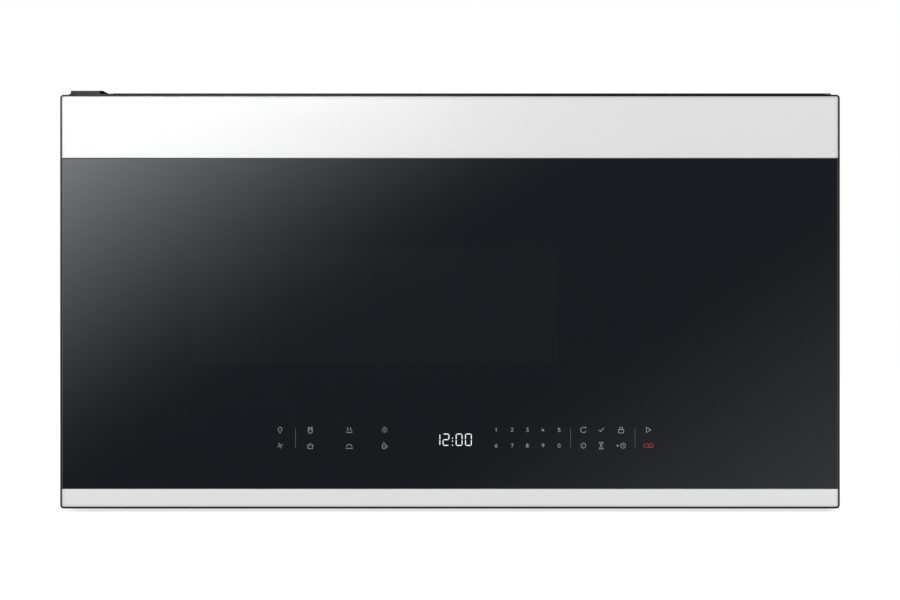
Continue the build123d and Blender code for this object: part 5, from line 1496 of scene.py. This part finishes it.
@dataclass
class Cabinet:
    """The case: panels, ports, screws and the hardware that the door hangs and latches on.

    Attributes:
        cover_shadow_windows: The lowest and highest corners of the painted shadows on the hinge
        cover, at its sloping end and its lower left corner, across and up from its lowest corner.
        screws: The case's screws.
    """

    cover_shadow_windows: Tuple[Tuple[Point, Point], ...] = (
        ((27.6 * MM, 0.6 * MM), (38.2 * MM, 4.7 * MM)), ((-1.0 * MM, 0.0), (5.0 * MM, 1.6 * MM)))
    screws: ScrewSet = ScrewSet("case_screw_set", "case_screws", "cabinet")

    def build(self) -> None:
        """Dresses the case and fits its screws."""
        dress(CASE_PAINT, "top_panel", "side_panels", "base_panel")
        dress(INNER_PAINT, "front_plate")
        dress(ZINC, "back_panel")
        dress(DULL_ZINC, "exhaust_cover")
        dress(BRACKET_ZINC, "upper_hinge", "lower_hinge", "mounting_nuts")
        dress(GRILLE_PLASTIC, "vent_grille")
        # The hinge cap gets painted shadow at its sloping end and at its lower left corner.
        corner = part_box("hinge_cover")[0]
        shadow_windows = tuple(tuple((corner.x + across, corner.z + up) for across, up in shadow_window)
                         for shadow_window in self.cover_shadow_windows)
        dress(CoverPlastic("hinge_cap_plastic", (0.030, 0.030, 0.031), 0.5, mirror=0.2,
                           shadow_windows=shadow_windows), "hinge_cover")
        dress(RUBBER, "cord_grommet")
        dress(CHARCOAL, "charcoal_filter")
        dress(DARK_PLASTIC, "latch_board", "interlock_switches")
        dress(NYLON, "switch_buttons")
        self.screws.build()


@dataclass
class OvenCavity:
    """The oven and what feeds it: waveguide, lamp and the mica cover over the port."""

    def build(self) -> None:
        """Dresses the oven."""
        dress(ENAMEL, "cavity_box")
        dress(ZINC, "waveguide")
        dress(MICA, "waveguide_cover")
        dress(LENS, "cavity_lamp")


@dataclass
class Turntable:
    """The turntable: motor, shaft, coupler, ring, rollers and glass tray."""

    def build(self) -> None:
        """Dresses the turntable."""
        dress(ZINC, "turntable_motor")
        dress(SHAFT_STEEL, "turntable_shaft")
        dress(NYLON, "turntable_coupler", "roller_ring", "roller_1", "roller_2", "roller_3")
        dress(TRAY_GLASS, "glass_tray")


@dataclass
class GeneratorBay:
    """The bay beside the oven: magnetron, transformer, capacitor, board and cooling fan."""

    def build(self) -> None:
        """Dresses the bay."""
        dress(ZINC, "magnetron_yoke", "component_shelf")
        dress(FINS, "magnetron_anode")
        dress(LAMINATIONS, "transformer_core")
        dress(COPPER, "transformer_coils")
        dress(CAN, "capacitor")
        dress(BOARD, "power_board")
        dress(DARK_PLASTIC, "cooling_fan_shroud")
        dress(NYLON, "cooling_fan_blade")
        dress(SHAFT_STEEL, "cooling_fan_motor")


@dataclass
class VentBlower:
    """The vent blower above the oven."""

    def build(self) -> None:
        """Dresses the blower."""
        dress(ZINC, "blower_housing")
        dress(SHAFT_STEEL, "blower_motor")
        dress(DARK_PLASTIC, "blower_rotor")


class Side(Enum):
    """The two sides of the underside."""

    LEFT = "left"
    RIGHT = "right"


@dataclass
class GreaseFilter:
    """One aluminium grease filter, with the expanded mesh that shows in its frame.

    Attributes:
        side: Which side it is on.
        rim: The width of its frame.
        wall: The thickness of its frame metal.
        diamond: The length and width of one opening of the mesh.
        strand: The width of a strand.
        strand_height: How far a strand stands out.
        strand_sink: How deep a strand's back lies in the metal.
        bond: How far apart the middles of neighbouring strands are where they meet, as a share
            of their width.
        mesh_margin: How far past the walls the mesh layers are taken to reach.
    """

    side: Side
    rim: float = 9.0 * MM
    wall: float = 1.0 * MM
    diamond: Point = (7.0 * MM, 4.0 * MM)
    strand: float = 0.55 * MM
    strand_height: float = 0.6 * MM
    strand_sink: float = 0.1 * MM
    bond: float = 0.6
    mesh_margin: float = 0.02 * MM

    def build(self) -> None:
        """Dresses the frame and lays the mesh into it."""
        side = self.side.value
        node = f"grease_filter_{side}"
        low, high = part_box(node)
        margin = self.wall - self.mesh_margin
        dress(FilterMetal("filter_frame_metal", (0.50, 0.51, 0.52), 0.34,
                          mesh_low=low.z + margin, mesh_high=high.z - margin), node)
        maker = MeshMaker()
        for level, outward in ((low.z + self.wall, -1.0), (high.z - self.wall, 1.0)):
            for path in self.strands(low, high):
                maker.stroke(path, self.strand, level + outward * self.strand_height,
                             level - outward * self.strand_sink, Facing.DOWN)
        add_piece(f"{side}_filter_mesh", maker, STRAND_METAL, f"{side}_filter")

    def strands(self, low: Vector, high: Vector) -> Iterable[List[Point]]:
        """Gives the zigzag strands of one mesh.

        Args:
            low: The filter's lowest corner.
            high: The filter's highest corner.

        Returns:
            The points of each strand.
        """
        length, width = self.diamond
        span_x, span_y = high.x - low.x - 2 * self.rim, high.y - low.y - 2 * self.rim
        rows, runs = round(span_y / width), round(2 * span_x / length)
        swing = (span_y / rows - self.strand * self.bond) / 2
        for row in range(rows):
            middle = low.y + self.rim + (row + 0.5) * span_y / rows
            yield [(low.x + self.rim + span_x * k / runs,
                    middle + swing * (1 if (k + row) % 2 else -1)) for k in range(runs + 1)]


@dataclass
class Underside:
    """What the base panel carries: two grease filters and two cooktop lamps.

    Attributes:
        rib_pitch: The distance between the ribs of a lamp's lens.
        rib_width: The width of a rib.
        rib_height: How far a rib stands out below the lens.
        rib_sink: How deep a rib's back lies in the lens.
        rib_margin: How far the ribs keep from the lens's edge.
    """

    rib_pitch: float = 3.0 * MM
    rib_width: float = 1.6 * MM
    rib_height: float = 0.4 * MM
    rib_sink: float = 0.1 * MM
    rib_margin: float = 4.0 * MM

    def build(self) -> None:
        """Dresses the lamps and builds the filters."""
        dress(LENS, "cooktop_lamp_lenses")
        dress(NYLON, "cooktop_lamp_modules")
        self.build_ribs()
        for side in Side:
            GreaseFilter(side).build()

    def build_ribs(self) -> None:
        """Adds the ribs that spread the light, across each lens."""
        maker = MeshMaker()
        for solid in islands("cooktop_lamp_lenses"):
            low, high = corners(solid)
            span = high.x - low.x - 2 * self.rib_margin
            count = round(span / self.rib_pitch)
            for k in range(count + 1):
                across = low.x + self.rib_margin + span * k / count
                path = [(across, low.y + self.rib_margin), (across, high.y - self.rib_margin)]
                maker.stroke(path, self.rib_width, low.z - self.rib_height,
                             low.z + self.rib_sink, Facing.DOWN)
        add_piece("lamp_lens_ribs", maker, LENS, "cabinet")


@dataclass
class Door:
    """The door: frame, three panes, screen and choke, inner pane, back cover and latch.

    Attributes:
        window_size: The width and height of the screen's window.
        window_rise: How far the window's middle is above the inner pane's middle.
        upper_white_shaded: The upper pane's white, a darker copy of the lower pane's paint:
            painted shade.
        lower_white_lit: The lower pane's white, a lighter copy of the same paint: painted light.
        edge_shade: The shade of their edges, as a factor: partly the tone that grinding leaves,
            partly painted shade of the rounded edge.
        line_shade: The shade of the thin line inside these, as a factor.
        black: The colour of the dark pane's print.
        screen: The colour that the screen lends the dark pane.
        edge_highlight: The colour of the painted highlight along the dark pane's polished edge.
        highlight_width: How far in that painted highlight shows.
        polish: How dull the panes' polished faces are.
        screws: The door's screws.
    """

    window_size: Point = (361.0 * MM, 120.0 * MM)
    window_rise: float = 2.5 * MM
    upper_white_shaded: Colour = (0.73, 0.73, 0.73)
    lower_white_lit: Colour = (0.80, 0.80, 0.80)
    edge_shade: float = 0.6
    line_shade: float = 0.88
    black: Colour = (0.0104, 0.0119, 0.0151)
    screen: Colour = (0.0132, 0.0144, 0.0180)
    edge_highlight: Colour = (0.10, 0.102, 0.106)
    highlight_width: float = 1.3 * MM
    polish: float = 0.03
    screws: ScrewSet = ScrewSet("door_screw_set", "door_screws", "door")

    def build(self) -> None:
        """Dresses the door and fits its screws."""
        self.dress_glass()
        dress(FRAME_COAT, "door_frame")
        low, high = self.window_corners()
        dress(PerforatedSteel("perforated_screen", (0.022, 0.022, 0.024), 0.45, low=low,
                              high=high), "choke_panel")
        dress(CHOKE_CAP, "choke_cover")
        dress(CLEAR_GLASS, "inner_pane")
        dress(DARK_PLASTIC, "back_cover")
        dress(NYLON, "latch_key", "hinge_bushes")
        dress(SCREW_STEEL, "latch_spring")
        dress(TOUCH_BOARD, "touch_board")
        dress(DISPLAY_CASE, "display_module")
        self.screws.build()

    def window_corners(self) -> Tuple[Point, Point]:
        """Gives the corners of the screen's window.

        Returns:
            The lowest and the highest corner, across and up.
        """
        low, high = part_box("inner_pane")
        across, up = (low.x + high.x) / 2, (low.z + high.z) / 2 + self.window_rise
        half_width, half_height = (size / 2 for size in self.window_size)
        return (across - half_width, up - half_height), (across + half_width, up + half_height)

    def dress_glass(self) -> None:
        """Gives the three panes their back paint."""
        # The two white panes carry lit and shaded copies of one white paint, the upper darker than
        # the lower.
        for node, white, is_upper in (("upper_glass", self.upper_white_shaded, True),
                                      ("lower_glass", self.lower_white_lit, False)):
            low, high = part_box(node)
            # Their edges darken to the edge shade: partly the tone that grinding leaves, partly
            # painted shade of the rounded edge.
            dress(BackPaintedGlass(f"white_{node}", white, self.polish, low=(low.x, low.z),
                                   high=(high.x, high.z), edge=shade(white, self.edge_shade),
                                   line=shade(white, self.line_shade), open_low=is_upper,
                                   open_high=not is_upper), node)
        # The dark pane's edge turns lighter: a painted highlight of its polished edge.
        low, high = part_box("window_glass")
        screen_low, screen_high = self.window_corners()
        dress(WindowGlass("black_window_glass", self.black, self.polish, low=(low.x, low.z),
                          high=(high.x, high.z), edge=self.edge_highlight,
                          edge_width=self.highlight_width, line=self.black, open_low=True,
                          open_high=True, screen_low=screen_low, screen_high=screen_high,
                          screen=self.screen), "window_glass")


# ---------------------------------------------------------------------------------------------
# Key print and clock
# ---------------------------------------------------------------------------------------------

PRINT_PROUD = 0.05 * MM


def print_levels() -> Span:
    """Gives the levels of the print's face and of its back, which is in the glass."""
    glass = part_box("window_glass")[0].y
    return glass - PRINT_PROUD, glass + PRINT_PROUD


def wave(across: float, low: float, high: float, steps: int = 8, swing: float = 0.1
         ) -> List[Point]:
    """Gives one rising wave of steam."""
    return [(across + swing * math.sin(math.tau * k / steps), low + (high - low) * k / steps)
            for k in range(steps + 1)]


class Pictogram(Enum):
    """Small plain signs for the keys, each a list of lines on a grid that reaches from -1 to 1."""

    LAMP = [([(-0.26, -0.55)] + list(reversed(circle((0, 0.22), 0.62, 12, -60, 300)))
             + [(0.26, -0.55)], False), ([(-0.26, -0.92), (0.26, -0.92)], False)]
    FAN = [([(0.08 * math.cos(a), 0.08 * math.sin(a)), (0.5 * math.cos(a + 0.5),
             0.5 * math.sin(a + 0.5)), (0.95 * math.cos(a), 0.95 * math.sin(a))], False)
           for a in (math.radians(20 + 90 * k) for k in range(4))]
    KERNELS = [([(-0.72, 0.0), (0.72, 0.0), (0.5, -1.0), (-0.5, -1.0)], True),
               (circle((-0.4, 0.55), 0.26, 10), True), (circle((0.4, 0.65), 0.26, 10), True)]
    PLATE = [([(-1.0, -0.55), (-0.6, -0.85), (0.6, -0.85), (1.0, -0.55)], False),
             (wave(-0.45, -0.3, 0.8), False), (wave(0.45, -0.3, 0.8), False)]
    FLAKE = [([(0.34 * math.cos(a), 0.34 * math.sin(a)), (math.cos(a), math.sin(a))], False)
             for a in (math.radians(30 + 60 * k) for k in range(6))]
    POT = [([(-0.7, 0.2), (-0.7, -0.9), (0.7, -0.9), (0.7, 0.2)], False),
           ([(-1.05, 0.2), (1.05, 0.2)], False), ([(-0.25, 0.7), (0.25, 0.7)], False)]
    CLOCHE = [(circle((0, -0.4), 0.85, 14, 0, 180), False), ([(-1.1, -0.85), (1.1, -0.85)], False)]
    CUP = [([(-0.75, 0.25), (-0.55, -0.9), (0.25, -0.9), (0.45, 0.25)], True),
           (circle((0.5, -0.25), 0.38, 8, -75, 150), False), (wave(-0.15, 0.6, 1.1), False)]
    TURN = [(circle((0, 0), 0.85, 18, 50, 285), False),
            ([(1.05, 0.62), (0.56, 0.62), (0.62, 1.08)], False)]
    TICK = [([(-0.75, 0.0), (-0.2, -0.55), (0.85, 0.7)], False)]
    LOCK = [([(-0.8, 0.05), (-0.8, -0.95), (0.8, -0.95), (0.8, 0.05)], True),
            ([(0.48, 0.05)] + circle((0, 0.42), 0.48, 12, 0, 180) + [(-0.48, 0.05)], False)]
    NUT = [(circle((0, 0), 0.82, 6, 30), True), ([(-0.14, 0.0), (0.14, 0.0)], False)]
    GLASS = [([(-0.62, 1.0), (0.62, 1.0), (-0.62, -1.0), (0.62, -1.0)], True)]
    PLAY = [([(-0.55, 0.8), (-0.55, -0.8), (0.85, 0.0)], True)]
    ADD = [([(-1.5, 0.0), (-0.7, 0.0)], False), ([(-1.1, 0.4), (-1.1, -0.4)], False),
           (circle((0.62, 0), 0.78, 14), True),
           ([(0.62, 0.42), (0.62, -0.08), (0.98, -0.08)], False)]
    CLEAR = [([(-1.55, 0.0), (-1.0, 0.52), (1.5, 0.52), (1.5, -0.52), (-1.0, -0.52)], True),
             ([(-0.1, 0.26), (0.5, -0.26)], False), ([(-0.1, -0.26), (0.5, 0.26)], False)]


class Numeral(Enum):
    """Plain one-line numerals on a grid that reaches from -1 to 1."""

    N0 = [([(0.6 * x, y) for x, y in circle((0, 0), 1.0, 20)], True)]
    N1 = [([(-0.22, 0.8), (0.1, 1.0), (0.1, -1.0)], False)]
    N2 = [(circle((0, 0.46), 0.54, 10, 165, -190) + [(-0.56, -1.0), (0.6, -1.0)], False)]
    N3 = [([(-0.48, 1.0), (0.42, 1.0), (-0.06, 0.2)] + circle((0, -0.42), 0.58, 12, 90, -245),
           False)]
    N4 = [([(-0.3, 1.0), (-0.62, -0.3), (0.66, -0.3)], False), ([(0.3, 0.35), (0.3, -1.0)], False)]
    N5 = [([(0.48, 1.0), (-0.4, 1.0), (-0.45, 0.1)] + circle((-0.02, -0.38), 0.62, 12, 120, -265),
           False)]
    N6 = [([(0.3, 1.0), (-0.42, -0.1)] + circle((0, -0.42), 0.57, 16, 150, 360), False)]
    N7 = [([(-0.6, 1.0), (0.6, 1.0), (-0.15, -1.0)], False)]
    N8 = [(circle((0, 0.54), 0.46, 14), True), (circle((0, -0.46), 0.54, 16), True)]
    N9 = [([(-0.3, -1.0), (0.42, 0.1)] + circle((0, 0.42), 0.57, 16, -30, 360), False)]


@dataclass
class KeyPrint:
    """The lit key print of the dark pane: signs, plain numbers and thin dividing lines.

    Attributes:
        upper_row: The height of the upper row of keys.
        lower_row: The height of the lower row of keys.
        sign_size: Half of a sign's width and height.
        number_size: Half of a numeral's width and height.
        line_width: The width of the lines.
        number_places: The middles of the number keys, across.
        lamp_place: The middle of the lamp and fan keys, across.
        program_places: The middles of the program keys, across.
        setting_places: The middles of the setting keys, across.
        start_place: The middle of the start and clear keys, across.
        divider_places: The middles of the dividing lines, across.
        divider_ends: The lower and upper ends of the dividing lines.
        divider_width: The width of the dividing lines.
    """

    upper_row: float = 79.7 * MM
    lower_row: float = 64.3 * MM
    sign_size: Point = (3.1 * MM, 3.1 * MM)
    number_size: Point = (1.95 * MM, 1.7 * MM)
    line_width: float = 0.26 * MM
    number_places: Tuple[float, ...] = (44.8 * MM, 60.4 * MM, 75.2 * MM, 90.6 * MM, 106.2 * MM)
    lamp_place: float = -165.4 * MM
    program_places: Tuple[float, ...] = (-136.0 * MM, -98.0 * MM, -63.8 * MM)
    setting_places: Tuple[float, ...] = (129.8 * MM, 147.2 * MM, 166.6 * MM)
    start_place: float = 192.9 * MM
    divider_places: Tuple[float, ...] = (-150.4 * MM, 117.3 * MM, 180.2 * MM)
    divider_ends: Point = (62.2 * MM, 81.2 * MM)
    divider_width: float = 0.45 * MM

    def build(self) -> None:
        """Builds the print, group by group."""
        upper, lower = self.upper_row, self.lower_row
        first, second, third = self.program_places
        self.signs("program_signs", KEY_PRINT, (
            (Pictogram.LAMP, self.lamp_place, upper), (Pictogram.FAN, self.lamp_place, lower),
            (Pictogram.KERNELS, first, upper), (Pictogram.PLATE, second, upper),
            (Pictogram.FLAKE, third, upper), (Pictogram.POT, first, lower),
            (Pictogram.CLOCHE, second, lower), (Pictogram.CUP, third, lower)))
        first, second, third = self.setting_places
        self.signs("setting_signs", KEY_PRINT, (
            (Pictogram.TURN, first, upper), (Pictogram.TICK, second, upper),
            (Pictogram.LOCK, third, upper), (Pictogram.NUT, first, lower),
            (Pictogram.GLASS, second, lower), (Pictogram.ADD, third, lower),
            (Pictogram.PLAY, self.start_place, upper)))
        self.signs("clear_sign", STOP_PRINT, ((Pictogram.CLEAR, self.start_place, lower),))
        numerals = list(Numeral)
        self.signs("number_print", KEY_PRINT, [
            (numerals[(first + k) % 10], across, row) for row, first in ((upper, 1), (lower, 6))
            for k, across in enumerate(self.number_places)], self.number_size)
        self.build_dividers()

    def signs(self, name: str, finish: Finish, places: Iterable[Tuple[Enum, float, float]],
              size: Optional[Point] = None) -> None:
        """Builds a group of signs or numerals as one piece.

        Args:
            name: The piece's name.
            finish: Its finish.
            places: The signs, whose values are their lines, each with its place across and up.
            size: Half of the width and height of one, or none for the size of the signs.
        """
        width, height = size or self.sign_size
        maker = MeshMaker()
        for sign, across, up in places:
            for path, closed in sign.value:
                points = [(across + width * x, up + height * z) for x, z in path]
                maker.stroke(points, self.line_width, *print_levels(), Facing.FRONT, closed)
        add_piece(name, maker, finish, "door")

    def build_dividers(self) -> None:
        """Builds the thin lines between groups of keys."""
        maker = MeshMaker()
        for across in self.divider_places:
            path = [(across, up) for up in self.divider_ends]
            maker.stroke(path, self.divider_width, *print_levels(), Facing.FRONT)
        add_piece("divider_print", maker, DIVIDER_PRINT, "door")


@dataclass
class Clock:
    """The lit clock: seven-segment digits that show twelve o'clock.

    Attributes:
        digit: The width and height of one digit.
        bottom: The height of the digits' lower edge.
        stroke: The width of one segment.
        gap: The gap between segments.
        digit_places: The left edge of each digit, with the digit's segments.
        dot_places: The middles of the colon's two dots and of the lower dot.
        dot_radius: A dot's radius, as a share of a segment's width.
        dot_sides: How many straight sides a dot has.
    """

    digit: Point = (6.47 * MM, 11.83 * MM)
    bottom: float = 64.2 * MM
    stroke: float = 0.77 * MM
    gap: float = 0.34 * MM
    digit_places: Tuple[Tuple[float, str], ...] = (
        (-15.95 * MM, "bc"), (-7.14 * MM, "abged"), (5.61 * MM, "abcdef"), (14.7 * MM, "abcdef"))
    dot_places: Tuple[Point, ...] = ((2.45 * MM, 71.65 * MM), (2.45 * MM, 68.73 * MM),
                                     (2.45 * MM, 64.7 * MM))
    dot_radius: float = 0.69
    dot_sides: int = 10

    def build(self) -> None:
        """Builds the digits and the dots."""
        outlines = [self.segment(name, left) for left, lit in self.digit_places for name in lit]
        outlines += [circle(place, self.dot_radius * self.stroke, self.dot_sides)
                     for place in self.dot_places]
        maker = MeshMaker()
        for outline in outlines:
            maker.prism(outline, *print_levels(), Facing.FRONT)
        add_piece("clock_digits", maker, CLOCK_PRINT, "door")

    def segment(self, name: str, left: float) -> List[Point]:
        """Gives one segment's outline.

        Args:
            name: The segment's letter, from a at the top to g in the middle.
            left: The left edge of its digit.

        Returns:
            The outline's points.
        """
        width, height = self.digit
        half, gap = self.stroke / 2, self.gap
        right, low, high = left + width, self.bottom, self.bottom + height
        middle = (low + high) / 2
        level = {"a": high - half, "g": middle, "d": low + half}
        if name in level:
            up = level[name]
            near, far = left + half + gap, right - half - gap
            return [(near, up), (near + half, up - half), (far - half, up - half), (far, up),
                    (far - half, up + half), (near + half, up + half)]
        across = right - half if name in "bc" else left + half
        near, far = ((middle + gap, high - half - gap) if name in "bf"
                     else (low + half + gap, middle - gap))
        return [(across, near), (across + half, near + half), (across + half, far - half),
                (across, far), (across - half, far - half), (across - half, near + half)]


def main() -> None:
    """Builds the studio and every sub-assembly, and reports each."""
    logging.basicConfig(level=logging.INFO, format="%(message)s")
    for part in (Studio(), Cabinet(), OvenCavity(), Turntable(), GeneratorBay(), VentBlower(),
                 Underside(), Door(), KeyPrint(), Clock()):
        LOG.info("building %s", type(part).__name__)
        part.build()


if __name__ == "__main__":
    main()
